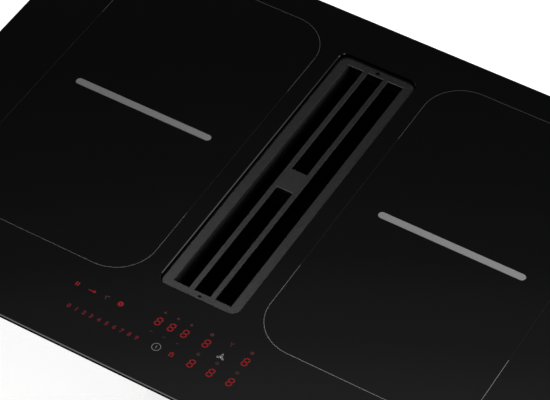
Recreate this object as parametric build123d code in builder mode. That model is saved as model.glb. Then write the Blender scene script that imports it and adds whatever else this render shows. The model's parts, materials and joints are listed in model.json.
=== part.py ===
from build123d import *
from math import cos, hypot, pi, radians, sin
import os

# Downdraft induction cooktop: a black glass hob with an extractor let into its middle.
# Millimetres. X runs to the cook's right, Y to the back and Z up. The origin is the middle of
# the footprint at the lowest face, so the front edge of the glass is at -Y.

os.makedirs("parts", exist_ok=True)

# ---- glass top
overall_height = 210.0
glass_width = 720.0
glass_depth = 515.0
glass_thickness = 4.0
glass_corner = 8.0
glass_bevel = 0.8

# ---- inlet grille and the cut-out it drops into
grille_y = 29.4  # middle of the grille, behind the middle of the glass
grille_end = 83.0  # mean width of the glass before and behind the grille
slot_width = 17.0
slot_count = 3
bar_width = 6.2
bar_depth = 6.0
bar_root = 0.9  # width of a bar along its lower edge
side_member = 10.6
end_member = 10.0
end_undercut = 4.6
grille_skirt = 4.0
grille_height = 18.0
grille_recess = 4.5  # glass top down to grille top
grille_gap = 1.1
grille_corner = 8.0
grille_edge = 0.5
plate_length = 28.0
plate_thickness = 4.0
lift_hole = 2.4
foot_diameter = 6.4
foot_height = 3.0

# ---- pan under the glass
bond_thickness = 1.0
bond_width = 4.0
sheet = 1.0
rim_side = 24.0  # glass beyond the pan at each side
rim_end = 26.5  # glass beyond the pan at the front and the back
pan_height = 49.0
pan_slope = 13.0  # how far the floor is drawn in from the rim
pan_corner = 18.0
pan_flange = 6.0
seal_width = 10.0
seal_thickness = 3.0
seal_inset = 3.0

# ---- inlet shaft, filter cassette and drip tray
shaft_clearance = 0.6
shaft_wall = 2.5
shaft_flange = 12.0
shaft_reach = 2.5  # below the airbox cover
gasket = 3.0
gasket_lap = 1.0
filter_clearance = 2.0
filter_wall = 2.0
filter_rim = 9.0
filter_height = 110.0
window_count = 6
window_rib = 8.0
window_height = 54.0
window_sill = 12.0
mesh_thickness = 3.0
mesh_slots = 30
mesh_rows = 3
mesh_web = 4.0
mesh_margin = 5.0
handle_height = 6.0
handle_width = 14.0
handle_drop = 16.0
drain_slot_width = 16.0  # slots in the floor of the cassette
drain_slot_end = 16.0
tray_wall = 2.0
tray_pad = 4.0
nest_depth = 4.0
fit_gap = 0.3
least_corner = 0.5

# ---- airbox
airbox_gap = 10.0  # breathing gap between the airbox and the pan
airbox_wall = 2.5
airbox_corner = 6.0
plenum_side = 28.5  # free width to the left of the shaft
plenum_end = 10.0  # free width before and behind the shaft
airbox_lip = 3.0
slope_run = 34.0  # the front wall leans back below, clear of a drawer
slope_rise = 52.0
tray_gap = 3.0  # drip tray to the sloping wall
rib_width = 3.0
rib_depth = 1.2
rib_pitch = 44.0
panel_rebate = 0.8  # shallow panels in the underside
panel_rows = 3
panel_land = 14.0
boss_radius = 4.5
boss_height = 30.0
boss_bite = 1.0  # how far a boss runs into the wall beside it
screw_radius = 1.5
screw_slack = 0.2
screw_head = 3.2
screw_head_height = 2.0
case_screw_bite = 21.0
pad_width = 10.0
pad_inset = 15.0
drain_radius = 14.0
drain_wall = 3.0
drain_height = 12.0
drain_x = 70.0
drain_inset = 54.3  # from the front of the airbox
cap_recess = 0.8
cap_slot = 2.4
cap_lug = 2.0
cap_lug_width = 4.8
cap_lug_reach = 1.5
cap_notch_width = 6.0
cap_notch_reach = 2.0

# ---- extractor wheel, scroll and motor
wheel_radius = 76.0
wheel_height = 70.0
wheel_inset = 165.0  # wheel's axis in from the right edge of the glass
wheel_y = 0.0
wheel_lift = 11.5  # wheel above the airbox floor
blade_count = 36
blade_inner = 62.0
blade_thickness = 1.2
shell = 2.5
eye_radius = 58.0
eye_lip = 8.0
scroll_height = 89.0
scroll_gap = 6.0  # wheel to the volute at its tightest arc
volute_step = 10.0
tongue_sweep = 25.0
can_radius = 40.0
can_height = 30.0
can_wall = 2.0
magnet = 3.8
air_gap = 0.7
shaft_radius = 4.0
running_gap = 0.05
bearing_radius = 11.0
bearing_width = 7.0
tube_wall = 2.0
stator_height = 18.0
pole_count = 12
damper_height = 4.0
damper_radius = 7.0
damper_circle = 30.0
damper_count = 3
motor_sheet = 2.0
motor_boss = 3.0
can_lift = 2.0  # can above the foot of the wheel
can_slack = 2.0  # wheel's cup around the can
hub_bore = 13.0
shroud_width = 10.0
pole_width = 5.0
pole_shoe = 2.5
yoke_wall = 5.0
winding_build = 2.2
bearing_step = 2.0
shaft_end = 1.0
ring_sheet = 2.0
ring_flange = 8.0
guard_wire = 2.4
guard_rings = 3

# ---- outlet
outlet_width = 218.0
outlet_height = 88.0
outlet_length = 30.0
outlet_wall = 2.0
outlet_flange = 7.0
flap_thickness = 1.2
flap_pin = 1.5
flap_barrel = 1.6
flap_ledge = 3.0
mullion = 6.0

# ---- induction units
coil_edge = 5.5  # outermost turn in from the ends of its half of the plate
coil_eye = 17.0  # least radius of the innermost turn
coil_gap = 6.8  # front former to rear former of one zone
wire = 3.8
wire_gap = 0.6
former_sheet = 2.0
former_rim = 2.0
former_hole = 8.0
ferrite_length = 50.0
ferrite_width = 14.0
ferrite_height = 5.0
ferrite_count = 8
ferrite_clear = 6.0
mica_thickness = 0.5
mica_gap = 0.3
plate_inner = 12.9  # shaft to the coil plates
plate_outer = 33.6  # coil plates to the sides of the pan's floor
plate_short = 54.0  # coil plates shorter than the pan's floor
plate_back = 8.3  # coil plates to the rear edge of the pan
coil_plate_sheet = 1.5
coil_plate_lip = 8.0
spring_width = 12.0
spring_foot = 12.0
spring_span = 60.0
spring_top = 26.0
spring_sheet = 0.8
lead_radius = 1.5
lead_clear = 2.0

# ---- electronics and cooling
board_sheet = 1.6
board_side = 20.0  # boards in from the sides of the coil plates
board_front = 71.0  # boards behind the front of the pan's floor
board_back = 6.4  # boards end before the middle of the grille
hole_edge = 6.0
pillar_height = 4.0
pillar_radius = 3.0
film_clear = 3.0  # coil lead to the film capacitors
film_edge = 9.5  # film capacitors to the edge of the board
film_depth = 18.0
film_height = 22.0
film_gap = 5.0
choke_radius = 15.0
choke_height = 13.0
choke_inset = 22.5  # chokes' middles in from the ends of their board
plug_width = 10.0
plug_depth = 20.0
plug_height = 9.0
plug_pitch = 30.0
plug_inset = 14.0
filter_board_width = 48.0
filter_board_depth = 150.0
filter_board_back = 88.0  # its middle before the back of the pan's floor
filter_board_gap = 6.0
sink_clear = 5.5  # heat sink to the coil lead
sink_end = 10.0  # heat sink in from the ends of its board
sink_height = 26.0
sink_fins = 11
sink_base = 4.0
sink_inset = 20.0
fin_sheet = 1.6
fan_size = 80.0
fan_height = 20.0
fan_clear = 9.0  # fan to the filter board
fan_back = 50.0  # fan's middle before the back of the pan's floor
fan_pillar = 8.0
fan_bore = 38.0
fan_hub = 16.0
fan_blades = 7
fan_pin = 2.0
fan_strut = 2.5
fan_web = 6.0
fan_corner = 5.0
hub_gap = 0.5
tip_gap = 1.0
blade_sweep = 6.0
blade_half = 1.0
vent_width = 4.0
vent_length = 56.0
vent_count = 8
exhaust_inset = 22.0

# ---- touch panel
panel_x = -10.0
panel_front = 61.5  # panel's middle behind the front edge of the glass
panel_width = 220.0
panel_depth = 58.0
panel_height = 9.5
panel_wall = 1.5
panel_ledge = 1.5
leg_size = 6.0
leg_inset = 9.0
digit_width = 8.0
digit_depth = 12.0
timer_pitch = 14.4
timer_row = 7.5  # behind the panel's middle
level_x = 37.3
level_pitch = 21.1
level_row = -19.0

# ---- mains connection
terminal_width = 100.0
terminal_depth = 56.0
terminal_height = 26.0
terminal_wall = 2.0
terminal_side = 55.0  # its middle in from the left of the pan's floor
terminal_rear = 40.0  # its middle before the back of the pan's floor
terminal_poles = 5
post_width = 11.5
post_depth = 16.0
post_height = 10.0
post_bore = 2.2
post_bore_depth = 8.0
wire_slot_length = 25.0
wire_slot_width = 8.0
lid_sheet = 2.0
lid_barrel = 2.0
lid_pin = 1.2
gland_radius = 10.0
gland_bore = 6.0
gland_length = 16.0
gland_nut = 5.0
gland_flat = 11.5
gland_round = 2.0

# ---- worktop clamps
clamp_inset = 81.0  # clamps in from the front and back of the pan
clamp_reach = 42.0
clamp_sheet = 3.0
clamp_hub = 4.2
claw_width = 9.0
clamp_tip = 6.0
clamp_screw = 2.0
clamp_screw_length = 68.0
clamp_hub_height = 16.0
head_height = 3.0

# ---- heights and outlines that follow from the sizes above
glass_under = overall_height - glass_thickness
pan_rim = glass_under - bond_thickness
pan_floor = pan_rim - pan_height
pan_inside = pan_floor + sheet
pan_width = glass_width - 2 * rim_side
pan_depth = glass_depth - 2 * rim_end
floor_width = pan_width - 2 * pan_slope
floor_depth = pan_depth - 2 * pan_slope
floor_corner = pan_corner - pan_slope / 3
airbox_height = pan_floor - airbox_gap
wheel_x = glass_width / 2 - wheel_inset

grille_width = slot_count * slot_width + (slot_count - 1) * bar_width + 2 * side_member
grille_length = glass_depth - 2 * grille_end
slot_length = grille_length - 2 * end_member
grille_top = overall_height - grille_recess
grille_base = grille_top - grille_height
inner_width = grille_width - 2 * side_member
cutout_width = grille_width + 2 * grille_gap
cutout_length = grille_length + 2 * grille_gap
cutout_corner = grille_corner + grille_gap

shaft_width = cutout_width + 2 * shaft_clearance
shaft_length = cutout_length + 2 * shaft_clearance
shaft_corner = cutout_corner + shaft_clearance
shaft_outer_width = shaft_width + 2 * shaft_wall
shaft_outer_length = shaft_length + 2 * shaft_wall
shaft_outer_corner = shaft_corner + shaft_wall
opening_width = shaft_outer_width + 2 * gasket
opening_length = shaft_outer_length + 2 * gasket
opening_corner = shaft_outer_corner + gasket
cover_base = airbox_height - airbox_wall

filter_width = shaft_width - 2 * filter_clearance
filter_length = shaft_length - 2 * filter_clearance
filter_corner = shaft_corner - filter_clearance
filter_top = grille_base - foot_height
filter_base = filter_top - filter_height
tray_base = airbox_wall + tray_pad

rotor_base = airbox_wall + wheel_lift
eye_seat = airbox_wall + scroll_height + shell
volute_radius = wheel_radius + scroll_gap
half_step = volute_step / 2
outlet_inner_width = outlet_width - 2 * outlet_wall
outlet_inner_height = outlet_height - 2 * outlet_wall
outlet_right = wheel_x + half_step + volute_radius + 3 * volute_step
outlet_x = outlet_right - outlet_inner_width / 2
outlet_z = airbox_wall + scroll_height / 2
airbox_left = -shaft_outer_width / 2 - plenum_side
airbox_right = outlet_right + shell + airbox_corner
airbox_front = grille_y - shaft_outer_length / 2 - plenum_end
airbox_back = grille_y + shaft_outer_length / 2 + plenum_end
airbox_width = airbox_right - airbox_left
airbox_depth = airbox_back - airbox_front
airbox_x = (airbox_left + airbox_right) / 2
airbox_y = (airbox_front + airbox_back) / 2
inner_back = airbox_back - airbox_wall
drain_y = airbox_front + drain_inset
slope_factor = hypot(slope_run, slope_rise) / slope_rise
room_shift = airbox_wall * slope_factor
tray_shift = room_shift + tray_gap * slope_factor
tray_flat = airbox_front + tray_shift + slope_run * (1 - tray_base / slope_rise)

winding_top = glass_under - mica_gap - mica_thickness
winding_axis = winding_top - wire / 2
former_top = winding_top - wire
former_base = former_top - former_sheet
plate_top = former_base - ferrite_height
plate_base = plate_top - coil_plate_sheet
board_base = pan_inside + pillar_height
board_top = board_base + board_sheet
coil_plate_width = (floor_width - shaft_outer_width) / 2 - plate_inner - plate_outer
coil_plate_depth = floor_depth - plate_short
zone_x = shaft_outer_width / 2 + plate_inner + coil_plate_width / 2
zone_y = pan_depth / 2 - plate_back - coil_plate_depth / 2
coil_radius = coil_plate_depth / 4 - coil_edge
coil_pitch = wire + wire_gap
coil_turns = int((coil_radius - wire / 2 - coil_eye) / coil_pitch)
coil_start = coil_radius - wire / 2 - coil_turns * coil_pitch
former_radius = coil_radius + former_rim + fit_gap
coil_pitch_y = 2 * former_radius + coil_gap

board_width = coil_plate_width - 2 * board_side
board_depth = floor_depth / 2 - board_front + grille_y - board_back
board_y = grille_y - board_back - board_depth / 2
lead_inner = former_hole + former_rim + lead_clear
film_start = zone_x + lead_inner + lead_radius + film_clear
film_width = (zone_x + board_width / 2 - film_edge - film_start - film_gap) / 2
film_x = film_start + film_width + film_gap / 2
film_room = board_depth - 2 * (choke_inset + choke_radius)
film_rows = int(film_room / (film_depth + film_gap))
sink_width = board_width / 2 - sink_inset - lead_inner - lead_radius - sink_clear
sink_length = board_depth - 2 * sink_end
filter_board_y = floor_depth / 2 - filter_board_back
fan_y = floor_depth / 2 - fan_back
panel_y = -glass_depth / 2 + panel_front
terminal_x = -floor_width / 2 + terminal_side
terminal_y = floor_depth / 2 - terminal_rear
clamp_y = pan_depth / 2 - clamp_inset

sides = {"left": -1, "right": 1}
rows = {"front": -1, "rear": 1}


def save(piece, node):
    """Label a finished piece and write its own STEP file."""
    piece.part.label = node
    export_step(piece.part, f"parts/{node}.step")


def frame_ring(width, length, corner, wall):
    """A rounded rectangle with a smaller one, wall narrower all round, taken out of it."""
    inner_corner = max(corner - wall, least_corner)
    RectangleRounded(width, length, corner)
    RectangleRounded(width - 2 * wall, length - 2 * wall, inner_corner, mode=Mode.SUBTRACT)


# ==== glass, its seals and its beads

with BuildPart() as glass_top:
    with BuildSketch(Plane.XY.offset(glass_under)):
        RectangleRounded(glass_width, glass_depth, glass_corner)
        with Locations((0, grille_y)):
            RectangleRounded(cutout_width, cutout_length, cutout_corner, mode=Mode.SUBTRACT)
    extrude(amount=glass_thickness)
    chamfer(glass_top.faces().sort_by(Axis.Z)[-1].edges(), glass_bevel)
save(glass_top, "glass_top")

with BuildPart() as rim_seal:
    with BuildSketch(Plane.XY.offset(glass_under - seal_thickness)):
        frame_ring(
            glass_width - 2 * seal_inset,
            glass_depth - 2 * seal_inset,
            glass_corner + seal_width,
            seal_width,
        )
    extrude(amount=seal_thickness)
save(rim_seal, "rim_seal")

with BuildPart() as glass_bond:
    with BuildSketch(Plane.XY.offset(pan_rim)):
        frame_ring(
            pan_width + 2 * pan_flange - 2 * bond_thickness,
            pan_depth + 2 * pan_flange - 2 * bond_thickness,
            pan_corner + pan_flange - bond_thickness,
            bond_width,
        )
        with Locations((0, grille_y)):
            frame_ring(
                shaft_outer_width + 2 * shaft_flange - 2 * bond_thickness,
                shaft_outer_length + 2 * shaft_flange - 2 * bond_thickness,
                shaft_outer_corner + shaft_flange - bond_thickness,
                bond_width,
            )
    extrude(amount=bond_thickness)
save(glass_bond, "glass_bond")


# ==== inlet grille: a cast frame with two bars and a bare centre plate

bar_pitch = slot_width + bar_width
pocket_half = slot_length / 2 + end_member - grille_skirt

with BuildPart() as inlet_grille:
    with BuildSketch(Plane.XY.offset(grille_base)):
        with Locations((0, grille_y)):
            RectangleRounded(grille_width, grille_length, grille_corner)
            Rectangle(inner_width, 2 * pocket_half, mode=Mode.SUBTRACT)
    extrude(amount=grille_height)
    # Bars and end members are undercut, so they look thin from above.
    with BuildSketch(Plane.XZ.offset(-grille_y)):
        for index in range(slot_count - 1):
            bar_x = (index - (slot_count - 2) / 2) * bar_pitch
            with BuildLine():
                Polyline(
                    (bar_x - bar_width / 2, grille_top),
                    (bar_x + bar_width / 2, grille_top),
                    (bar_x + bar_root / 2, grille_top - bar_depth),
                    (bar_x - bar_root / 2, grille_top - bar_depth),
                    close=True,
                )
            make_face()
    extrude(amount=pocket_half, both=True)
    with BuildSketch(Plane.YZ):
        for end in (-1, 1):
            with BuildLine():
                Polyline(
                    (grille_y + end * slot_length / 2, grille_top),
                    (grille_y + end * pocket_half, grille_top),
                    (grille_y + end * pocket_half, grille_top - bar_depth),
                    (grille_y + end * (slot_length / 2 + end_undercut), grille_top - bar_depth),
                    close=True,
                )
            make_face()
    extrude(amount=inner_width / 2, both=True)
    with BuildSketch(Plane.XY.offset(grille_top - plate_thickness)):
        with Locations((0, grille_y)):
            Rectangle(bar_pitch, plate_length)
    extrude(amount=plate_thickness)
    with Locations(
        *[(0, grille_y + end * (slot_length + end_member) / 2, grille_top) for end in (-1, 1)]
    ):
        Hole(lift_hole / 2, 2 * bar_depth)
    fillet(inlet_grille.edges().filter_by(Plane.XY).group_by(Axis.Z)[-1], grille_edge)
save(inlet_grille, "inlet_grille")

foot_x = inner_width / 2 + side_member / 2
foot_y = slot_length / 2 + end_member / 2

with BuildPart() as grille_feet:
    with BuildSketch(Plane.XY.offset(filter_top)):
        with Locations((0, grille_y)):
            with GridLocations(2 * foot_x, 2 * foot_y, 2, 2):
                Circle(foot_diameter / 2)
    extrude(amount=foot_height)
save(grille_feet, "grille_feet")


# ==== filter cassette and drip tray, stacked in the shaft

window_width = (filter_length - 2 * filter_rim - (window_count - 1) * window_rib) / window_count
window_base = filter_base + window_sill

with BuildPart() as filter_frame:
    with BuildSketch(Plane.XY.offset(filter_base)):
        with Locations((0, grille_y)):
            frame_ring(filter_width, filter_length, filter_corner, filter_wall)
    extrude(amount=filter_height)
    # top rim that carries the grille's feet
    with BuildSketch(Plane.XY.offset(filter_top - filter_wall)):
        with Locations((0, grille_y)):
            frame_ring(filter_width, filter_length, filter_corner, filter_rim)
    extrude(amount=filter_wall)
    # floor that drains into the tray through a row of slots
    with BuildSketch(Plane.XY.offset(filter_base)):
        with Locations((0, grille_y)):
            RectangleRounded(
                filter_width - filter_wall,
                filter_length - filter_wall,
                filter_corner - filter_wall / 2,
            )
            with GridLocations(0, filter_length / (window_count + 1), 1, window_count):
                SlotOverall(
                    filter_width - 2 * drain_slot_end, drain_slot_width, mode=Mode.SUBTRACT
                )
    extrude(amount=filter_wall)
    # skirt that nests in the tray's rim
    nest = tray_wall + fit_gap
    with BuildSketch(Plane.XY.offset(filter_base - nest_depth)):
        with Locations((0, grille_y)):
            frame_ring(
                filter_width - 2 * nest, filter_length - 2 * nest, filter_corner - nest, filter_wall
            )
    extrude(amount=nest_depth)
    # windows along both sides
    with BuildSketch(Plane.YZ):
        with Locations((grille_y, window_base + window_height / 2)):
            with GridLocations(window_width + window_rib, 0, window_count, 1):
                RectangleRounded(window_width, window_height, window_rib / 2)
    extrude(amount=filter_width, both=True, mode=Mode.SUBTRACT)
    # grip across the middle
    with BuildSketch(Plane.XY.offset(filter_top - handle_drop)):
        with Locations((0, grille_y)):
            Rectangle(filter_width - filter_wall, handle_width)
    extrude(amount=handle_height)
save(filter_frame, "filter_frame")

mesh_x = filter_width / 2 - filter_wall - fit_gap - mesh_thickness
mesh_length = filter_length - 2 * filter_rim
mesh_height = window_height + 2 * mesh_margin
mesh_base = window_base - mesh_margin
mesh_pitch = mesh_length / mesh_slots
mesh_row = (mesh_height - mesh_web) / mesh_rows

with BuildPart() as filter_mesh:
    for side in sides.values():
        mesh_start = mesh_x if side > 0 else -mesh_x - mesh_thickness
        with BuildSketch(Plane.YZ.offset(mesh_start)):
            with Locations((grille_y, mesh_base + mesh_height / 2)):
                Rectangle(mesh_length, mesh_height)
                with GridLocations(mesh_pitch, mesh_row, mesh_slots - 1, mesh_rows):
                    Rectangle(mesh_pitch - mesh_web, mesh_row - mesh_web, mode=Mode.SUBTRACT)
        extrude(amount=mesh_thickness)
        # channel that hooks the panel to the floor of the cassette
        with BuildSketch(Plane.YZ.offset(mesh_start)):
            with Locations((grille_y, (mesh_base + filter_base + filter_wall) / 2)):
                Rectangle(mesh_length, mesh_base - filter_base - filter_wall)
        extrude(amount=mesh_thickness)
save(filter_mesh, "filter_mesh")


def under_slope(shift):
    """Space below and before the sloping front, once its face is moved back by shift."""
    with BuildPart() as wedge:
        with BuildSketch(Plane.YZ.offset(airbox_left - airbox_lip)):
            with BuildLine():
                Polyline(
                    (airbox_front - slope_run, -slope_rise),
                    (airbox_front + shift + 2 * slope_run, -slope_rise),
                    (airbox_front - slope_run, slope_rise * (2 + shift / slope_run)),
                    close=True,
                )
            make_face()
        extrude(amount=airbox_width + 2 * airbox_lip)
    return wedge.part


under_airbox = under_slope(0)
under_airbox_room = under_slope(room_shift)
under_tray = under_slope(tray_shift)
under_tray_room = under_slope(tray_shift + tray_wall * slope_factor)

with BuildPart() as tray_room:
    with BuildSketch(Plane.XY.offset(tray_base + tray_wall)):
        with Locations((0, grille_y)):
            RectangleRounded(
                filter_width - 2 * tray_wall,
                filter_length - 2 * tray_wall,
                filter_corner - tray_wall,
            )
    extrude(amount=filter_base - tray_base)
    add(under_tray_room, mode=Mode.SUBTRACT)

with BuildPart() as drip_tray:
    with BuildSketch(Plane.XY.offset(tray_base)):
        with Locations((0, grille_y)):
            RectangleRounded(filter_width, filter_length, filter_corner)
    extrude(amount=filter_base - tray_base)
    add(under_tray, mode=Mode.SUBTRACT)
    add(tray_room.part, mode=Mode.SUBTRACT)
save(drip_tray, "drip_tray")


# ==== inlet shaft and its gaskets

with BuildPart() as inlet_shaft:
    with BuildSketch(Plane.XY.offset(cover_base - shaft_reach)):
        with Locations((0, grille_y)):
            frame_ring(shaft_outer_width, shaft_outer_length, shaft_outer_corner, shaft_wall)
    extrude(amount=pan_rim - cover_base + shaft_reach)
    with BuildSketch(Plane.XY.offset(pan_rim - shaft_wall)):
        with Locations((0, grille_y)):
            frame_ring(
                shaft_outer_width + 2 * shaft_flange,
                shaft_outer_length + 2 * shaft_flange,
                shaft_outer_corner + shaft_flange,
                shaft_flange + shaft_wall / 2,
            )
    extrude(amount=shaft_wall)
save(inlet_shaft, "inlet_shaft")

with BuildPart() as shaft_seals:
    for seal_base, seal_height in (
        (cover_base, airbox_wall + gasket_lap),
        (pan_floor - gasket_lap, sheet + 2 * gasket_lap),
    ):
        with BuildSketch(Plane.XY.offset(seal_base)):
            with Locations((0, grille_y)):
                frame_ring(opening_width, opening_length, opening_corner, gasket)
        extrude(amount=seal_height)
save(shaft_seals, "shaft_seals")


# ==== airbox: body, cover and drain cap

boss_inset = airbox_wall + boss_radius - boss_bite
boss_reach_x = airbox_width / 2 - boss_inset
boss_reach_y = airbox_depth / 2 - boss_inset
boss_points = [
    (airbox_x + column * boss_reach_x, airbox_y + row * boss_reach_y)
    for column in (-1, 0, 1)
    for row in (-1, 0, 1)
    if (column, row) != (0, 0)
]
damper_points = [
    (
        wheel_x + damper_circle * cos(2 * pi * index / damper_count),
        wheel_y + damper_circle * sin(2 * pi * index / damper_count),
    )
    for index in range(damper_count)
]
plate_seat = airbox_wall + motor_boss + damper_height
panel_cell_x = airbox_width / panel_rows
panel_cell_y = (airbox_depth - slope_run) / panel_rows

with BuildPart() as airbox_room:
    with BuildSketch(Plane.XY.offset(airbox_wall)):
        with Locations((airbox_x, airbox_y)):
            RectangleRounded(
                airbox_width - 2 * airbox_wall,
                airbox_depth - 2 * airbox_wall,
                airbox_corner - airbox_wall,
            )
    extrude(amount=cover_base)
    add(under_airbox_room, mode=Mode.SUBTRACT)

with BuildPart() as airbox_body:
    with BuildSketch():
        with Locations((airbox_x, airbox_y)):
            RectangleRounded(airbox_width, airbox_depth, airbox_corner)
    extrude(amount=cover_base)
    # lip under the cover, ribs up three walls
    with BuildSketch(Plane.XY.offset(cover_base - airbox_lip)):
        with Locations((airbox_x, airbox_y)):
            RectangleRounded(
                airbox_width + 2 * airbox_lip,
                airbox_depth + 2 * airbox_lip,
                airbox_corner + airbox_lip,
            )
    extrude(amount=airbox_lip)
    with BuildSketch(Plane.XY.offset(airbox_corner)):
        with Locations((airbox_x, airbox_y)):
            with GridLocations(airbox_width, rib_pitch, 2, int(airbox_depth / rib_pitch)):
                Rectangle(2 * rib_depth, rib_width)
        with Locations((airbox_x, airbox_front)):
            with GridLocations(rib_pitch, 0, int(airbox_width / rib_pitch), 1):
                Rectangle(rib_width, 2 * rib_depth)
    extrude(amount=cover_base - airbox_corner)
    add(under_airbox, mode=Mode.SUBTRACT)
    add(airbox_room.part, mode=Mode.SUBTRACT)
    # shallow panels that stiffen the underside
    with BuildSketch():
        with Locations((airbox_x, airbox_y + slope_run / 2)):
            with GridLocations(panel_cell_x, panel_cell_y, panel_rows, panel_rows):
                RectangleRounded(
                    panel_cell_x - panel_land, panel_cell_y - panel_land, airbox_corner
                )
    extrude(amount=panel_rebate, mode=Mode.SUBTRACT)
    # bosses for the screws that hang the airbox from the pan
    with BuildSketch(Plane.XY.offset(cover_base - boss_height)):
        with Locations(*boss_points):
            Circle(boss_radius)
    extrude(amount=boss_height)
    with Locations(*[(x, y, cover_base) for x, y in boss_points]):
        Hole(screw_radius + screw_slack, boss_height - airbox_wall)
    # pads under the drip tray, and bosses under the motor
    with BuildSketch(Plane.XY.offset(airbox_wall)):
        with Locations(
            (0, tray_flat + pad_inset), (0, grille_y + filter_length / 2 - pad_inset)
        ):
            Rectangle(filter_width - 2 * pad_width, pad_width)
    extrude(amount=tray_pad)
    with BuildSketch(Plane.XY.offset(airbox_wall)):
        with Locations(*damper_points):
            Circle(damper_radius)
    extrude(amount=motor_boss)
    # drain neck, with two notches that let the cap's lugs through
    with BuildSketch(Plane.XY):
        with Locations((drain_x, drain_y)):
            Circle(drain_radius + drain_wall)
    extrude(amount=drain_height)
    with BuildSketch(Plane.XY):
        with Locations((drain_x, drain_y)):
            Circle(drain_radius)
            Rectangle(2 * (drain_radius + cap_notch_reach), cap_notch_width)
    extrude(amount=drain_height, mode=Mode.SUBTRACT)
    # hole in the back wall for the outlet
    with BuildSketch(Plane.XZ.offset(-airbox_back)):
        with Locations((outlet_x, outlet_z)):
            Rectangle(outlet_inner_width, outlet_inner_height)
    extrude(amount=2 * airbox_wall, mode=Mode.SUBTRACT)
save(airbox_body, "airbox_body")

with BuildPart() as airbox_cover:
    with BuildSketch(Plane.XY.offset(cover_base)):
        with Locations((airbox_x, airbox_y)):
            RectangleRounded(
                airbox_width + 2 * airbox_lip,
                airbox_depth + 2 * airbox_lip,
                airbox_corner + airbox_lip,
            )
        with Locations((0, grille_y)):
            RectangleRounded(opening_width, opening_length, opening_corner, mode=Mode.SUBTRACT)
    extrude(amount=airbox_wall)
    # spacers that leave a breathing gap under the pan
    with BuildSketch(Plane.XY.offset(airbox_height)):
        with Locations(*boss_points):
            Circle(boss_radius)
    extrude(amount=pan_floor - airbox_height)
    with Locations(*[(x, y, pan_floor) for x, y in boss_points]):
        Hole(screw_radius + screw_slack, pan_floor - cover_base)
save(airbox_cover, "airbox_cover")

with BuildPart() as drain_cap:
    with BuildSketch(Plane.XY.offset(cap_recess)):
        with Locations((drain_x, drain_y)):
            Circle(drain_radius - fit_gap)
    extrude(amount=drain_height + fit_gap - cap_recess)
    with BuildSketch(Plane.XY.offset(drain_height + fit_gap)):
        with Locations((drain_x, drain_y)):
            Circle(drain_radius - fit_gap)
            Rectangle(cap_lug_width, 2 * (drain_radius + cap_lug_reach))
    extrude(amount=cap_lug)
    with BuildSketch(Plane.XY.offset(cap_recess)):
        with Locations((drain_x, drain_y)):
            Rectangle(2 * (drain_radius - drain_wall), cap_slot)
    extrude(amount=cap_slot, mode=Mode.SUBTRACT)
save(drain_cap, "drain_cap")


# ==== scroll around the wheel

back_edge = inner_back - shell
tongue_angle = radians(90 - tongue_sweep)
tongue_x = wheel_x - half_step + volute_radius * cos(tongue_angle)
tongue_y = wheel_y + half_step + volute_radius * sin(tongue_angle)
throat_left = outlet_x - outlet_inner_width / 2
throat_lean = (throat_left - tongue_x) / (inner_back - tongue_y)


def volute_outline(back):
    """Inside of the scroll: four quarter arcs that widen, then a throat to the back wall."""
    growth = volute_step
    x, y, r = wheel_x, wheel_y, volute_radius
    back_left = tongue_x + throat_lean * (back - tongue_y)
    Line((outlet_right, back), (outlet_right, y + half_step))
    CenterArc((x + half_step, y + half_step), r + 3 * growth, 0, -90)
    CenterArc((x + half_step, y - half_step), r + 2 * growth, -90, -90)
    CenterArc((x - half_step, y - half_step), r + growth, 180, -90)
    CenterArc((x - half_step, y + half_step), r, 90, -tongue_sweep)
    Line((tongue_x, tongue_y), (back_left, back))
    Line((back_left, back), (outlet_right, back))


with BuildPart() as scroll_wall:
    with BuildSketch(Plane.XY.offset(airbox_wall)):
        with BuildLine():
            volute_outline(back_edge)
        make_face()
        offset(amount=shell, kind=Kind.INTERSECTION)
        with BuildLine():
            volute_outline(inner_back + shell)
        make_face(mode=Mode.SUBTRACT)
    extrude(amount=scroll_height)
save(scroll_wall, "scroll_wall")

with BuildPart() as scroll_cover:
    with BuildSketch(Plane.XY.offset(airbox_wall + scroll_height)):
        with BuildLine():
            volute_outline(back_edge)
        make_face()
        offset(amount=shell, kind=Kind.INTERSECTION)
        with Locations((wheel_x, wheel_y)):
            Circle(eye_radius + eye_lip, mode=Mode.SUBTRACT)
    extrude(amount=shell)
save(scroll_cover, "scroll_cover")

eye_bend = eye_radius + eye_lip
ring_top = eye_seat + ring_sheet

with BuildPart() as inlet_ring:
    with BuildSketch(Plane.XZ.offset(-wheel_y)):
        with BuildLine():
            Line((wheel_x + eye_bend + ring_flange, ring_top), (wheel_x + eye_bend, ring_top))
            CenterArc((wheel_x + eye_bend, ring_top - eye_lip), eye_lip, 90, 90)
            Line(
                (wheel_x + eye_radius, ring_top - eye_lip),
                (wheel_x + eye_radius + ring_sheet, ring_top - eye_lip),
            )
            CenterArc((wheel_x + eye_bend, ring_top - eye_lip), eye_lip - ring_sheet, 180, -90)
            Line((wheel_x + eye_bend, eye_seat), (wheel_x + eye_bend + ring_flange, eye_seat))
            Line(
                (wheel_x + eye_bend + ring_flange, eye_seat),
                (wheel_x + eye_bend + ring_flange, ring_top),
            )
        make_face()
    revolve(axis=Axis((wheel_x, wheel_y, 0), (0, 0, 1)))
save(inlet_ring, "inlet_ring")

guard_pitch = eye_bend / (guard_rings + 0.5)

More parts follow.
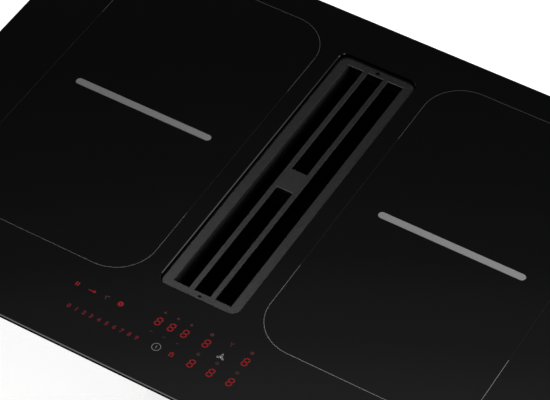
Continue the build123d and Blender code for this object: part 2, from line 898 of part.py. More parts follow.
with BuildPart() as inlet_guard:
    with BuildSketch(Plane.XY.offset(ring_top)):
        with Locations((wheel_x, wheel_y)):
            Circle(eye_bend + ring_flange)
            Circle(eye_bend, mode=Mode.SUBTRACT)
            for index in range(guard_rings):
                ring_radius = guard_pitch * (index + 1)
                Circle(ring_radius)
                Circle(ring_radius - guard_wire, mode=Mode.SUBTRACT)
            with PolarLocations(0, 4):
                with Locations((eye_bend / 2 + guard_wire, 0)):
                    Rectangle(eye_bend, guard_wire)
    extrude(amount=guard_wire)
save(inlet_guard, "inlet_guard")


# ==== extractor wheel and its external-rotor motor

can_base = rotor_base + can_lift
can_top = can_base + can_height
hub_radius = can_radius + can_slack
bore = can_radius - can_wall - magnet
stator_radius = bore - air_gap
tube_radius = bearing_radius + tube_wall
tube_base = plate_seat + motor_sheet
stator_base = can_base + (can_height - can_wall - stator_height) / 2
wheel_top = rotor_base + wheel_height

blade_depth = wheel_radius - blade_inner
blade_bow = blade_depth * 0.14
blade_hook = blade_depth * 0.28
blade_end = blade_depth - blade_thickness / 2

with BuildSketch() as blade_outline:
    with BuildLine():
        ThreePointArc((0, 0), (blade_depth / 2, -blade_bow), (blade_end, blade_hook))
        Line((blade_end, blade_hook), (blade_end, blade_hook + blade_thickness))
        ThreePointArc(
            (blade_end, blade_hook + blade_thickness),
            (blade_depth / 2, blade_thickness - blade_bow),
            (0, blade_thickness),
        )
        Line((0, blade_thickness), (0, 0))
    make_face()

with BuildPart() as impeller_hub:
    with BuildSketch(Plane.XZ.offset(-wheel_y)):
        with BuildLine():
            Polyline(
                (wheel_x + hub_bore, can_top),
                (wheel_x + hub_radius, can_top),
                (wheel_x + hub_radius, rotor_base),
                (wheel_x + wheel_radius, rotor_base),
                (wheel_x + wheel_radius, rotor_base + shell),
                (wheel_x + hub_radius + 2 * shell, rotor_base + shell),
                (wheel_x + hub_radius + shell, can_top + shell),
                (wheel_x + hub_bore, can_top + shell),
                close=True,
            )
        make_face()
    revolve(axis=Axis((wheel_x, wheel_y, 0), (0, 0, 1)))
save(impeller_hub, "impeller_hub")

# forward-curved blades, bonded between the back plate and the shroud ring
with BuildPart() as impeller_blades:
    with BuildSketch(Plane.XY.offset(rotor_base + shell)):
        with Locations((wheel_x, wheel_y)):
            with PolarLocations(blade_inner, blade_count):
                add(blade_outline.sketch)
    extrude(amount=wheel_height - 2 * shell)
save(impeller_blades, "impeller_blades")

with BuildPart() as impeller_ring:
    with BuildSketch(Plane.XY.offset(wheel_top - shell)):
        with Locations((wheel_x, wheel_y)):
            Circle(wheel_radius)
            Circle(wheel_radius - shroud_width, mode=Mode.SUBTRACT)
    extrude(amount=shell)
save(impeller_ring, "impeller_ring")

with BuildPart() as motor_rotor:
    with BuildSketch(Plane.XZ.offset(-wheel_y)):
        with BuildLine():
            Polyline(
                (wheel_x, tube_base + shaft_end),
                (wheel_x + shaft_radius, tube_base + shaft_end),
                (wheel_x + shaft_radius, can_top - can_wall),
                (wheel_x + can_radius - can_wall, can_top - can_wall),
                (wheel_x + can_radius - can_wall, stator_base + stator_height),
                (wheel_x + bore, stator_base + stator_height),
                (wheel_x + bore, stator_base),
                (wheel_x + can_radius - can_wall, stator_base),
                (wheel_x + can_radius - can_wall, can_base),
                (wheel_x + can_radius, can_base),
                (wheel_x + can_radius, can_top),
                (wheel_x, can_top),
                close=True,
            )
        make_face()
    revolve(axis=Axis((wheel_x, wheel_y, 0), (0, 0, 1)))
save(motor_rotor, "motor_rotor")

tube_top = can_top - can_wall - bearing_step
yoke_radius = tube_radius + yoke_wall

with BuildPart() as motor_stator:
    with BuildSketch(Plane.XY.offset(stator_base)):
        with Locations((wheel_x, wheel_y)):
            Circle(yoke_radius)
            with PolarLocations((yoke_radius + stator_radius - pole_shoe) / 2, pole_count):
                Rectangle(stator_radius - yoke_radius + pole_shoe, pole_width)
            with PolarLocations(stator_radius - pole_shoe, pole_count):
                Rectangle(pole_shoe, 2 * pole_width)
            Circle(tube_radius, mode=Mode.SUBTRACT)
    extrude(amount=stator_height)
save(motor_stator, "motor_stator")

winding_clear = 1.0
winding_span = stator_radius - 1.5 * pole_shoe - yoke_radius - 2 * winding_clear
winding_ring = yoke_radius + winding_clear + winding_span / 2
winding_width = pole_width + 1.3 * winding_build

with BuildPart() as motor_windings:
    with BuildSketch(Plane.XY.offset(stator_base - winding_build)):
        with Locations((wheel_x, wheel_y)):
            with PolarLocations(winding_ring, pole_count):
                Rectangle(winding_span, winding_width)
    extrude(amount=stator_height + 2 * winding_build)
    with BuildSketch(Plane.XY.offset(stator_base)):
        with Locations((wheel_x, wheel_y)):
            with PolarLocations(winding_ring, pole_count):
                Rectangle(winding_span + winding_clear, pole_width)
    extrude(amount=stator_height, mode=Mode.SUBTRACT)
save(motor_windings, "motor_windings")

bearing_seats = (tube_base + bearing_step, tube_top - bearing_width)

with BuildPart() as motor_bearings:
    for seat in bearing_seats:
        with BuildSketch(Plane.XY.offset(seat)):
            with Locations((wheel_x, wheel_y)):
                Circle(bearing_radius)
                Circle(shaft_radius + running_gap, mode=Mode.SUBTRACT)
        extrude(amount=bearing_width)
save(motor_bearings, "motor_bearings")

with BuildPart() as motor_plate:
    with BuildSketch(Plane.XY.offset(plate_seat)):
        with Locations((wheel_x, wheel_y)):
            Circle(can_radius)
        with Locations(*damper_points):
            Circle(screw_radius + screw_slack, mode=Mode.SUBTRACT)
    extrude(amount=motor_sheet)
    with BuildSketch(Plane.XY.offset(tube_base)):
        with Locations((wheel_x, wheel_y)):
            Circle(tube_radius)
            Circle(bearing_radius, mode=Mode.SUBTRACT)
    extrude(amount=tube_top - tube_base)
save(motor_plate, "motor_plate")

with BuildPart() as motor_dampers:
    with BuildSketch(Plane.XY.offset(airbox_wall + motor_boss)):
        with Locations(*damper_points):
            Circle(damper_radius)
            Circle(screw_radius + screw_slack, mode=Mode.SUBTRACT)
    extrude(amount=damper_height)
save(motor_dampers, "motor_dampers")


# ==== outlet collar and its two non-return flaps

ledge_face = airbox_back + flap_ledge
flap_y = ledge_face + fit_gap + flap_barrel
flap_width = outlet_inner_width - 4 * fit_gap
flap_cell = (outlet_inner_height - mullion) / 2
flap_length = outlet_inner_height / 2 - flap_barrel - 2 * fit_gap
upper_axis = outlet_z + outlet_inner_height / 2 - flap_barrel - fit_gap
flap_axes = {"upper": upper_axis, "lower": upper_axis - flap_length - flap_barrel - 2 * fit_gap}

with BuildPart() as outlet_collar:
    with BuildSketch(Plane.XZ.offset(-airbox_back - flap_ledge)):
        with Locations((outlet_x, outlet_z)):
            Rectangle(outlet_width + 2 * outlet_flange, scroll_height + 2)
            with GridLocations(0, flap_cell - flap_ledge + mullion, 1, 2):
                Rectangle(
                    outlet_inner_width - 2 * flap_ledge,
                    flap_cell - flap_ledge,
                    mode=Mode.SUBTRACT,
                )
    extrude(amount=flap_ledge)
    with BuildSketch(Plane.XZ.offset(-ledge_face)):
        with Locations((outlet_x, outlet_z)):
            Rectangle(outlet_width, outlet_height)
            Rectangle(outlet_inner_width, outlet_inner_height, mode=Mode.SUBTRACT)
    extrude(amount=-(outlet_length - flap_ledge))
    for axis_z in flap_axes.values():
        with BuildSketch(Plane.YZ.offset(outlet_x)):
            with Locations((flap_y, axis_z)):
                Circle(flap_pin + fit_gap)
        extrude(amount=outlet_width, both=True, mode=Mode.SUBTRACT)
save(outlet_collar, "outlet_collar")


def make_flap(axis_z):
    """One flap: a thin blade that hangs from a barrel with a pin at each end."""
    with BuildPart() as flap:
        with BuildSketch(Plane.YZ.offset(outlet_x)):
            with Locations((flap_y, axis_z)):
                Circle(flap_barrel)
            with Locations((flap_y - flap_barrel + flap_thickness / 2, axis_z - flap_length / 2)):
                Rectangle(flap_thickness, flap_length)
        extrude(amount=flap_width / 2, both=True)
        with BuildSketch(Plane.YZ.offset(outlet_x)):
            with Locations((flap_y, axis_z)):
                Circle(flap_pin)
        extrude(amount=outlet_width / 2, both=True)
    return flap


for flap_name, flap_z in flap_axes.items():
    save(make_flap(flap_z), f"outlet_flap_{flap_name}")


# ==== pan under the glass

spring_x = coil_plate_width / 2 - spring_width / 2
spring_points = [
    (side * zone_x + column * spring_x, zone_y + row * (coil_plate_depth / 2 - spring_span))
    for side in sides.values()
    for column in (-1, 1)
    for row in (-1, 1)
]
board_hole_x = board_width / 2 - hole_edge
board_hole_y = board_depth / 2 - hole_edge
board_points = [
    (side * zone_x + column * board_hole_x, board_y + row * board_hole_y)
    for side in sides.values()
    for column in (-1, 1)
    for row in (-1, 1)
]
spring_inner = -zone_x + coil_plate_width / 2 - spring_width
filter_board_x = spring_inner - filter_board_gap - filter_board_width / 2
filter_hole_x = filter_board_width / 2 - hole_edge
filter_hole_y = filter_board_depth / 2 - hole_edge
filter_points = [
    (filter_board_x + column * filter_hole_x, filter_board_y + row * filter_hole_y)
    for column in (-1, 1)
    for row in (-1, 1)
]
fan_hole = fan_size / 2 - hole_edge
fan_x = filter_board_width / 2 - filter_board_x + fan_clear + fan_size / 2
fan_points = [
    (side * fan_x + column * fan_hole, fan_y + row * fan_hole)
    for side in sides.values()
    for column in (-1, 1)
    for row in (-1, 1)
]
exhaust_y = -floor_depth / 2 + exhaust_inset
wire_slot_x = terminal_x - terminal_width / 4
clamp_x = pan_width / 2 + pan_flange / 2
clamp_points = [(side * clamp_x, row * clamp_y) for side in sides.values() for row in rows.values()]

with BuildPart() as base_pan:
    with BuildSketch(Plane.XY.offset(pan_floor)):
        RectangleRounded(floor_width, floor_depth, floor_corner)
    with BuildSketch(Plane.XY.offset(pan_rim)):
        RectangleRounded(pan_width, pan_depth, pan_corner)
    loft(ruled=True)
    with BuildSketch(Plane.XY.offset(pan_inside)):
        RectangleRounded(floor_width - 2 * sheet, floor_depth - 2 * sheet, floor_corner - sheet)
    with BuildSketch(Plane.XY.offset(pan_rim)):
        RectangleRounded(pan_width - 2 * sheet, pan_depth - 2 * sheet, pan_corner - sheet)
    loft(ruled=True, mode=Mode.SUBTRACT)
    with BuildSketch(Plane.XY.offset(pan_rim - sheet)):
        frame_ring(
            pan_width + 2 * pan_flange,
            pan_depth + 2 * pan_flange,
            pan_corner + pan_flange,
            pan_flange + sheet / 2,
        )
    extrude(amount=sheet)
    # pillars for the boards and the fans
    with BuildSketch(Plane.XY.offset(pan_inside)):
        with Locations(*board_points, *filter_points):
            Circle(pillar_radius)
    extrude(amount=pillar_height)
    with BuildSketch(Plane.XY.offset(pan_inside)):
        with Locations(*fan_points):
            Circle(pillar_radius)
    extrude(amount=fan_pillar)
    # openings: shaft, screws, breathing slots, mains wires
    with BuildSketch(Plane.XY.offset(pan_floor)):
        with Locations((0, grille_y)):
            RectangleRounded(opening_width, opening_length, opening_corner)
        with Locations(*boss_points):
            Circle(screw_radius + screw_slack)
        for side in sides.values():
            with Locations((side * fan_x, fan_y)):
                with GridLocations(2 * vent_width, 0, vent_count, 1):
                    SlotOverall(vent_length, vent_width, rotation=90)
            with Locations((side * zone_x, exhaust_y)):
                with GridLocations(3 * vent_width, 0, 2 * vent_count, 1):
                    SlotOverall(vent_length / 2, vent_width, rotation=90)
        with Locations((wire_slot_x, terminal_y)):
            SlotOverall(wire_slot_length, wire_slot_width)
    extrude(amount=sheet, mode=Mode.SUBTRACT)
    with BuildSketch(Plane.XY.offset(pan_rim - sheet)):
        with Locations(*clamp_points):
            Circle(clamp_screw)
    extrude(amount=sheet, mode=Mode.SUBTRACT)
save(base_pan, "base_pan")


# ==== induction units


def coil_path(center_x, center_y):
    """Flat spiral of half circles, two to a turn, each half a pitch wider than the last."""
    half_pitch = coil_pitch / 2
    for index in range(2 * coil_turns):
        radius = coil_start + index * half_pitch
        shift = half_pitch * (index % 2)
        start = 180 * (index % 2)
        CenterArc((center_x + shift, center_y), radius, start, 180)


def make_winding(center_x, center_y):
    """One pancake coil: a single litz wire swept along its spiral."""
    with BuildPart() as winding:
        with BuildLine(Plane.XY.offset(winding_axis)) as path:
            coil_path(center_x, center_y)
        with BuildSketch(Plane(path.line @ 0, z_dir=path.line % 0)):
            Circle(wire / 2)
        sweep()
    return winding


coil_centers = {
    f"{row_name}_{side_name}": (side * zone_x, zone_y + row * coil_pitch_y / 2)
    for row_name, row in rows.items()
    for side_name, side in sides.items()
}
for coil_name, (coil_x, coil_y) in coil_centers.items():
    save(make_winding(coil_x, coil_y), f"coil_winding_{coil_name}")
print("coil winding, gap from turn to turn:", round(coil_pitch - wire, 2), "mm")

# plastic discs that carry the windings, each with a rim outside and a hub inside
with BuildPart() as coil_formers:
    with BuildSketch(Plane.XY.offset(former_base)):
        with Locations(*coil_centers.values()):
            Circle(former_radius)
            Circle(former_hole, mode=Mode.SUBTRACT)
    extrude(amount=former_sheet)
    with BuildSketch(Plane.XY.offset(former_top)):
        with Locations(*coil_centers.values()):
            Circle(former_radius)
            Circle(former_radius - former_rim, mode=Mode.SUBTRACT)
            Circle(former_hole + former_rim)
            Circle(former_hole, mode=Mode.SUBTRACT)
    extrude(amount=wire)
save(coil_formers, "coil_formers")

ferrite_ring = coil_start + wire + ferrite_clear + ferrite_length / 2

with BuildPart() as ferrite_bars:
    with BuildSketch(Plane.XY.offset(plate_top)):
        with Locations(*coil_centers.values()):
            with PolarLocations(ferrite_ring, ferrite_count, start_angle=180 / ferrite_count):
                Rectangle(ferrite_length, ferrite_width)
    extrude(amount=ferrite_height)
save(ferrite_bars, "ferrite_bars")

with BuildPart() as mica_sheets:
    with BuildSketch(Plane.XY.offset(winding_top)):
        with Locations(*coil_centers.values()):
            Circle(former_radius)
            Circle(former_hole, mode=Mode.SUBTRACT)
    extrude(amount=mica_thickness)
save(mica_sheets, "mica_sheets")

lead_points = [
    (coil_x + reach, coil_y)
    for coil_x, coil_y in coil_centers.values()
    for reach in (-lead_inner, lead_inner)
]

with BuildPart() as coil_plates:
    with BuildSketch(Plane.XY.offset(plate_base)):
        with Locations(*[(side * zone_x, zone_y) for side in sides.values()]):
            Rectangle(coil_plate_width, coil_plate_depth)
        with Locations(*coil_centers.values()):
            SlotOverall(2 * (lead_inner + 3 * lead_radius), 4 * lead_radius, mode=Mode.SUBTRACT)
    extrude(amount=coil_plate_sheet)
    with BuildSketch(Plane.XY.offset(plate_base - coil_plate_lip)):
        with Locations(*[(side * zone_x, zone_y) for side in sides.values()]):
            with GridLocations(0, coil_plate_depth - coil_plate_sheet, 1, 2):
                Rectangle(coil_plate_width - 4 * spring_width, coil_plate_sheet)
    extrude(amount=coil_plate_lip)
save(coil_plates, "coil_plates")

spring_height = plate_base - pan_inside

with BuildPart() as carrier_springs:
    for spring_px, spring_py in spring_points:
        with BuildSketch(Plane.YZ.offset(spring_px)):
            for inset, mode in ((0, Mode.ADD), (spring_sheet, Mode.SUBTRACT)):
                with BuildLine():
                    Polyline(
                        (spring_py - spring_span / 2 + inset, pan_inside),
                        (spring_py - spring_top / 2 + inset, pan_inside + spring_height - inset),
                        (spring_py + spring_top / 2 - inset, pan_inside + spring_height - inset),
                        (spring_py + spring_span / 2 - inset, pan_inside),
                        close=True,
                    )
                make_face(mode=mode)
            with Locations((spring_py, pan_inside + spring_sheet / 2)):
                with GridLocations(spring_span + spring_foot, 0, 2, 1):
                    Rectangle(spring_foot + 2 * spring_sheet, spring_sheet)
        extrude(amount=spring_width / 2, both=True)
save(carrier_springs, "carrier_springs")

with BuildPart() as coil_leads:
    with BuildSketch(Plane.XY.offset(board_top)):
        with Locations(*[point for point in lead_points if point[1] < zone_y]):
            Circle(lead_radius)
    extrude(amount=former_base - board_top)
    with BuildSketch(Plane.XY.offset(pan_inside + fan_pillar + fan_height)):
        with Locations(*[point for point in lead_points if point[1] > zone_y]):
            Circle(lead_radius)
    extrude(amount=former_base - pan_inside - fan_pillar - fan_height)
save(coil_leads, "coil_leads")


# ==== power electronics

sink_x = zone_x - board_width / 2 + sink_inset + sink_width / 2
fin_pitch = (sink_width - fin_sheet) / (sink_fins - 1)


def make_power_board(side):
    """Board with film capacitors, chokes and plugs, on the outer side of its heat sink."""
    with BuildPart() as board:
        with BuildSketch(Plane.XY.offset(board_base)):
            with Locations((side * zone_x, board_y)):
                Rectangle(board_width, board_depth)
            with Locations(*board_points):
                Circle(screw_radius, mode=Mode.SUBTRACT)
        extrude(amount=board_sheet)
        with BuildSketch(Plane.XY.offset(board_top)):
            with Locations((side * film_x, board_y)):
                with GridLocations(film_width + film_gap, film_depth + film_gap, 2, film_rows):
                    Rectangle(film_width, film_depth)
        extrude(amount=film_height)
        with BuildSketch(Plane.XY.offset(board_top)):
            with Locations((side * film_x, board_y)):
                with GridLocations(
                    2 * choke_radius + film_gap, board_depth - 2 * choke_inset, 2, 2
                ):
                    Circle(choke_radius)
                    Circle(choke_radius / 2, mode=Mode.SUBTRACT)
        extrude(amount=choke_height)
        with BuildSketch(Plane.XY.offset(board_top)):
            with Locations((side * (zone_x - board_width / 2 + plug_inset), board_y)):
                with GridLocations(0, plug_pitch, 1, 4):
                    Rectangle(plug_width, plug_depth)
        extrude(amount=plug_height)
    return board


for side_name, side in sides.items():
    save(make_power_board(side), f"power_board_{side_name}")

with BuildPart() as heatsinks:
    for side in sides.values():
        with BuildSketch(Plane.XY.offset(board_top)):
            with Locations((side * sink_x, board_y)):
                Rectangle(sink_width, sink_length)
        extrude(amount=sink_base)
        with BuildSketch(Plane.XY.offset(board_top + sink_base)):
            with Locations((side * sink_x, board_y)):
                with GridLocations(fin_pitch, 0, sink_fins, 1):
                    Rectangle(fin_sheet, sink_length)
        extrude(amount=sink_height - sink_base)
save(heatsinks, "heatsinks")

with BuildPart() as filter_board:
    with BuildSketch(Plane.XY.offset(board_base)):
        with Locations((filter_board_x, filter_board_y)):
            Rectangle(filter_board_width, filter_board_depth)
        with Locations(*filter_points):
            Circle(screw_radius, mode=Mode.SUBTRACT)
    extrude(amount=board_sheet)
    with BuildSketch(Plane.XY.offset(board_top)):
        with Locations((filter_board_x, filter_board_y - filter_board_depth / 4)):
            Circle(choke_radius)
            Circle(choke_radius / 2, mode=Mode.SUBTRACT)
        with Locations((filter_board_x, filter_board_y + filter_board_depth / 8)):
            with GridLocations(0, film_depth + film_gap, 1, 3):
                Rectangle(film_width, film_depth)
    extrude(amount=choke_height)
save(filter_board, "filter_board")


# ==== cooling fans

fan_base = pan_inside + fan_pillar

with BuildPart() as fan_frames:
    for side in sides.values():
        with BuildSketch(Plane.XY.offset(fan_base)):
            with Locations((side * fan_x, fan_y)):
                RectangleRounded(fan_size, fan_size, fan_corner)
                Circle(fan_bore, mode=Mode.SUBTRACT)
            with Locations(*fan_points):
                Circle(screw_radius, mode=Mode.SUBTRACT)
        extrude(amount=fan_height)
        with BuildSketch(Plane.XY.offset(fan_base)):
            with Locations((side * fan_x, fan_y)):
                Circle(fan_hub)
                with PolarLocations((fan_bore + fan_hub) / 2, 3, start_angle=30):
                    Rectangle(fan_bore - fan_hub + fan_web / 2, fan_web)
                Circle(fan_pin + running_gap, mode=Mode.SUBTRACT)
        extrude(amount=fan_strut)
save(fan_frames, "fan_frames")


def make_fan_rotor(side):
    """Hub with a pin below it and swept blades around it."""
    with BuildPart() as rotor:
        with BuildSketch(Plane.XY.offset(fan_base + fan_strut + hub_gap)):
            with Locations((side * fan_x, fan_y)):
                Circle(fan_hub)
        extrude(amount=fan_height - fan_strut - 2 * hub_gap)
        with BuildSketch(Plane.XY.offset(fan_base + hub_gap)):
            with Locations((side * fan_x, fan_y)):
                Circle(fan_pin)
        extrude(amount=fan_strut + hub_gap)
        blade_span = fan_bore - tip_gap - fan_hub + blade_half
        blade_base = fan_base + fan_strut + 2 * hub_gap
        blade_rise = fan_height - fan_strut - 4 * hub_gap
        for index in range(fan_blades):
            angle = 360 * index / fan_blades
            blade_root = Vector(fan_hub - blade_half, 0).rotate(Axis.Z, angle)
            with BuildSketch(
                Plane(
                    blade_root + Vector(side * fan_x, fan_y, blade_base),
                    x_dir=Vector(0, 1, 0).rotate(Axis.Z, angle),
                    z_dir=Vector(1, 0, 0).rotate(Axis.Z, angle),
                )
            ):
                with BuildLine():
                    Polyline(
                        (-blade_sweep - blade_half, 0),
                        (-blade_sweep + blade_half, 0),
                        (blade_sweep + blade_half, blade_rise),
                        (blade_sweep - blade_half, blade_rise),
                        close=True,
                    )
                make_face()
            extrude(amount=blade_span)
    return rotor


for side_name, side in sides.items():
    save(make_fan_rotor(side), f"fan_rotor_{side_name}")


# ==== touch panel under the front of the glass

holder_top = glass_under - fit_gap
holder_base = holder_top - panel_height
touch_base = holder_base + panel_wall + panel_ledge
touch_top = touch_base + board_sheet
touch_width = panel_width - 2 * panel_wall - 2 * fit_gap
touch_depth = panel_depth - 2 * panel_wall - 2 * fit_gap

with BuildPart() as touch_holder:
    with BuildSketch(Plane.XY.offset(holder_base)):
        with Locations((panel_x, panel_y)):
            Rectangle(panel_width, panel_depth)
    extrude(amount=panel_height)
    with BuildSketch(Plane.XY.offset(holder_base + panel_wall)):
        with Locations((panel_x, panel_y)):
            Rectangle(panel_width - 2 * panel_wall, panel_depth - 2 * panel_wall)
    extrude(amount=panel_height, mode=Mode.SUBTRACT)
    # ledges that carry the board, and legs that stand on the pan
    with BuildSketch(Plane.XY.offset(holder_base + panel_wall)):
        with Locations((panel_x, panel_y)):
            with GridLocations(panel_width - 4 * panel_wall, 0, 2, 1):
                Rectangle(2 * panel_wall, panel_depth - 2 * panel_wall)
    extrude(amount=touch_base - holder_base - panel_wall)
    with BuildSketch(Plane.XY.offset(pan_inside)):
        with Locations((panel_x, panel_y)):
            with GridLocations(
                panel_width - leg_size, panel_depth - 2 * leg_inset - leg_size, 2, 2
            ):
                Rectangle(leg_size, leg_size)
    extrude(amount=holder_base - pan_inside)
save(touch_holder, "touch_holder")

timer_y = panel_y + timer_row
level_y = panel_y + level_row
digit_points = [((index - 1) * timer_pitch, timer_y) for index in range(3)]
digit_points += [(level_x, timer_y), (level_x + 2 * level_pitch, timer_y)]
digit_points += [(level_x + index * level_pitch, level_y) for index in range(3)]

with BuildPart() as touch_board:
    with BuildSketch(Plane.XY.offset(touch_base)):
        with Locations((panel_x, panel_y)):
            Rectangle(touch_width, touch_depth)
    extrude(amount=board_sheet)
    with BuildSketch(Plane.XY.offset(touch_top)):
        with Locations(*digit_points):
            Rectangle(digit_width, digit_depth)
    extrude(amount=holder_top - touch_top)
save(touch_board, "touch_board")


# ==== mains connection under the left rear of the pan

terminal_top = pan_floor
terminal_base = terminal_top - terminal_height
terminal_front = terminal_y - terminal_depth / 2
terminal_back = terminal_y + terminal_depth / 2
lid_reach = hypot(lid_barrel, lid_sheet) + fit_gap
lid_axis_y = terminal_front + lid_barrel
lid_axis_z = terminal_top - terminal_wall - lid_reach
cell_width = terminal_width - 2 * terminal_wall
gland_z = terminal_base + terminal_height / 2
post_pitch = cell_width / terminal_poles
post_top = terminal_base + terminal_wall + post_height
post_points = [
    (terminal_x + (index - (terminal_poles - 1) / 2) * post_pitch, terminal_y, post_top)
    for index in range(terminal_poles)
]

with BuildPart() as terminal_block:
    with BuildSketch(Plane.XY.offset(terminal_base)):
        with Locations((terminal_x, terminal_y)):
            Rectangle(terminal_width, terminal_depth)
    extrude(amount=terminal_height)
    with BuildSketch(Plane.XZ.offset(-terminal_front)):
        with Locations((terminal_x, terminal_base + terminal_height / 2)):
            Rectangle(cell_width, terminal_height - 2 * terminal_wall)
    extrude(amount=-(terminal_depth - terminal_wall), mode=Mode.SUBTRACT)
    # wires come up through the roof, the mains lead in through the back
    with BuildSketch(Plane.XY.offset(terminal_top - terminal_wall)):
        with Locations((wire_slot_x, terminal_y)):
            SlotOverall(wire_slot_length, wire_slot_width)
    extrude(amount=terminal_wall, mode=Mode.SUBTRACT)
    with BuildSketch(Plane.XZ.offset(-terminal_back)):
        with Locations((terminal_x, gland_z)):
            Circle(gland_bore)
    extrude(amount=terminal_wall, mode=Mode.SUBTRACT)
    with BuildSketch(Plane.YZ.offset(terminal_x)):
        with Locations((lid_axis_y, lid_axis_z)):
            Circle(lid_pin + fit_gap)
    extrude(amount=terminal_width, both=True, mode=Mode.SUBTRACT)
save(terminal_block, "terminal_block")

# clamping posts, one for each wire
with BuildPart() as terminal_posts:
    with BuildSketch(Plane.XY.offset(terminal_base + terminal_wall)):
        with Locations((terminal_x, terminal_y)):
            with GridLocations(post_pitch, 0, terminal_poles, 1):
                Rectangle(post_width, post_depth)
    extrude(amount=post_height)
    with Locations(*post_points):
        Hole(post_bore, post_bore_depth)
save(terminal_posts, "terminal_posts")

lid_width = cell_width - 4 * fit_gap
lid_bottom = terminal_base + terminal_wall + fit_gap

with BuildPart() as terminal_lid:
    with BuildSketch(Plane.YZ.offset(terminal_x)):
        with Locations((lid_axis_y, lid_axis_z)):
            Circle(lid_barrel)
        with Locations((terminal_front + lid_sheet / 2, (lid_axis_z + lid_bottom) / 2)):
            Rectangle(lid_sheet, lid_axis_z - lid_bottom)
    extrude(amount=lid_width / 2, both=True)
    with BuildSketch(Plane.YZ.offset(terminal_x)):
        with Locations((lid_axis_y, lid_axis_z)):
            Circle(lid_pin)
    extrude(amount=terminal_width / 2, both=True)
save(terminal_lid, "terminal_lid")

with BuildPart() as cable_gland:
    with BuildSketch(Plane.XZ.offset(-terminal_back)):
        with Locations((terminal_x, gland_z)):
            RegularPolygon(gland_flat, 6)
    extrude(amount=-gland_nut)
    with BuildSketch(Plane.XZ.offset(-terminal_back)):
        with Locations((terminal_x, gland_z)):
            Circle(gland_radius)
    extrude(amount=-gland_length)
    fillet(cable_gland.edges().filter_by(GeomType.CIRCLE).sort_by(Axis.Y)[-1], gland_round)
    with BuildSketch(Plane.XZ.offset(-terminal_back)):
        with Locations((terminal_x, gland_z)):
            Circle(gland_bore)
    extrude(amount=-gland_length, mode=Mode.SUBTRACT)
save(cable_gland, "cable_gland")


# ==== worktop clamps, each swinging on its own long screw

screw_foot = pan_rim - clamp_screw_length
claw_base = screw_foot + fit_gap


def make_clamp(side, row):
    """Claw that lies along the pan and swings out under the worktop."""
    with BuildPart() as clamp:
        with BuildSketch(Plane.XY.offset(claw_base)):
            with Locations((side * clamp_x, row * clamp_y)):
                Circle(clamp_hub)
        extrude(amount=clamp_hub_height)
        arm_base = claw_base + clamp_hub_height - clamp_sheet
        with BuildSketch(Plane.XY.offset(arm_base)):
            with Locations((side * clamp_x, row * (clamp_y - clamp_reach / 2))):
                Rectangle(claw_width, clamp_reach)
        extrude(amount=clamp_sheet)
        with BuildSketch(Plane.XY.offset(arm_base)):
            with Locations((side * clamp_x, row * (clamp_y - clamp_reach + clamp_sheet / 2))):
                Rectangle(claw_width, clamp_sheet)
        extrude(amount=clamp_sheet + clamp_tip)
        with BuildSketch(Plane.XY.offset(claw_base)):
            with Locations((side * clamp_x, row * clamp_y)):
                Circle(clamp_screw + running_gap)
        extrude(amount=clamp_hub_height, mode=Mode.SUBTRACT)
    return clamp


for row_name, row in rows.items():
    for side_name, side in sides.items():
        save(make_clamp(side, row), f"mounting_clamp_{row_name}_{side_name}")


# ==== fasteners

with BuildPart() as clamp_screws:
    with BuildSketch(Plane.XY.offset(screw_foot)):
        with Locations(*clamp_points):
            Circle(clamp_screw)
    extrude(amount=clamp_screw_length)
    with BuildSketch(Plane.XY.offset(screw_foot - head_height)):
        with Locations(*clamp_points):
            RegularPolygon(clamp_hub, 6)
    extrude(amount=head_height)
save(clamp_screws, "clamp_screws")

case_screw_length = case_screw_bite + pan_inside - cover_base
motor_screw_length = motor_sheet + damper_height

with BuildPart() as case_screws:
    with BuildSketch(Plane.XY.offset(pan_inside - case_screw_length)):
        with Locations(*boss_points):
            Circle(screw_radius)
    extrude(amount=case_screw_length)
    with BuildSketch(Plane.XY.offset(pan_inside)):
        with Locations(*boss_points):
            Circle(screw_head)
    extrude(amount=screw_head_height)
    with BuildSketch(Plane.XY.offset(plate_seat + motor_sheet - motor_screw_length)):
        with Locations(*damper_points):
            Circle(screw_radius)
    extrude(amount=motor_screw_length)
    with BuildSketch(Plane.XY.offset(plate_seat + motor_sheet)):
        with Locations(*damper_points):
            Circle(screw_head)
    extrude(amount=screw_head_height)
save(case_screws, "case_screws")

with BuildPart() as board_screws:
    for seat, shank, points in (
        (board_top, board_sheet, board_points + filter_points),
        (fan_base + fan_height, fan_height, fan_points),
    ):
        with BuildSketch(Plane.XY.offset(seat - shank)):
            with Locations(*points):
                Circle(screw_radius - screw_slack)
        extrude(amount=shank)
        with BuildSketch(Plane.XY.offset(seat)):
            with Locations(*points):
                Circle(pillar_radius)
        extrude(amount=screw_head_height)
save(board_screws, "board_screws")
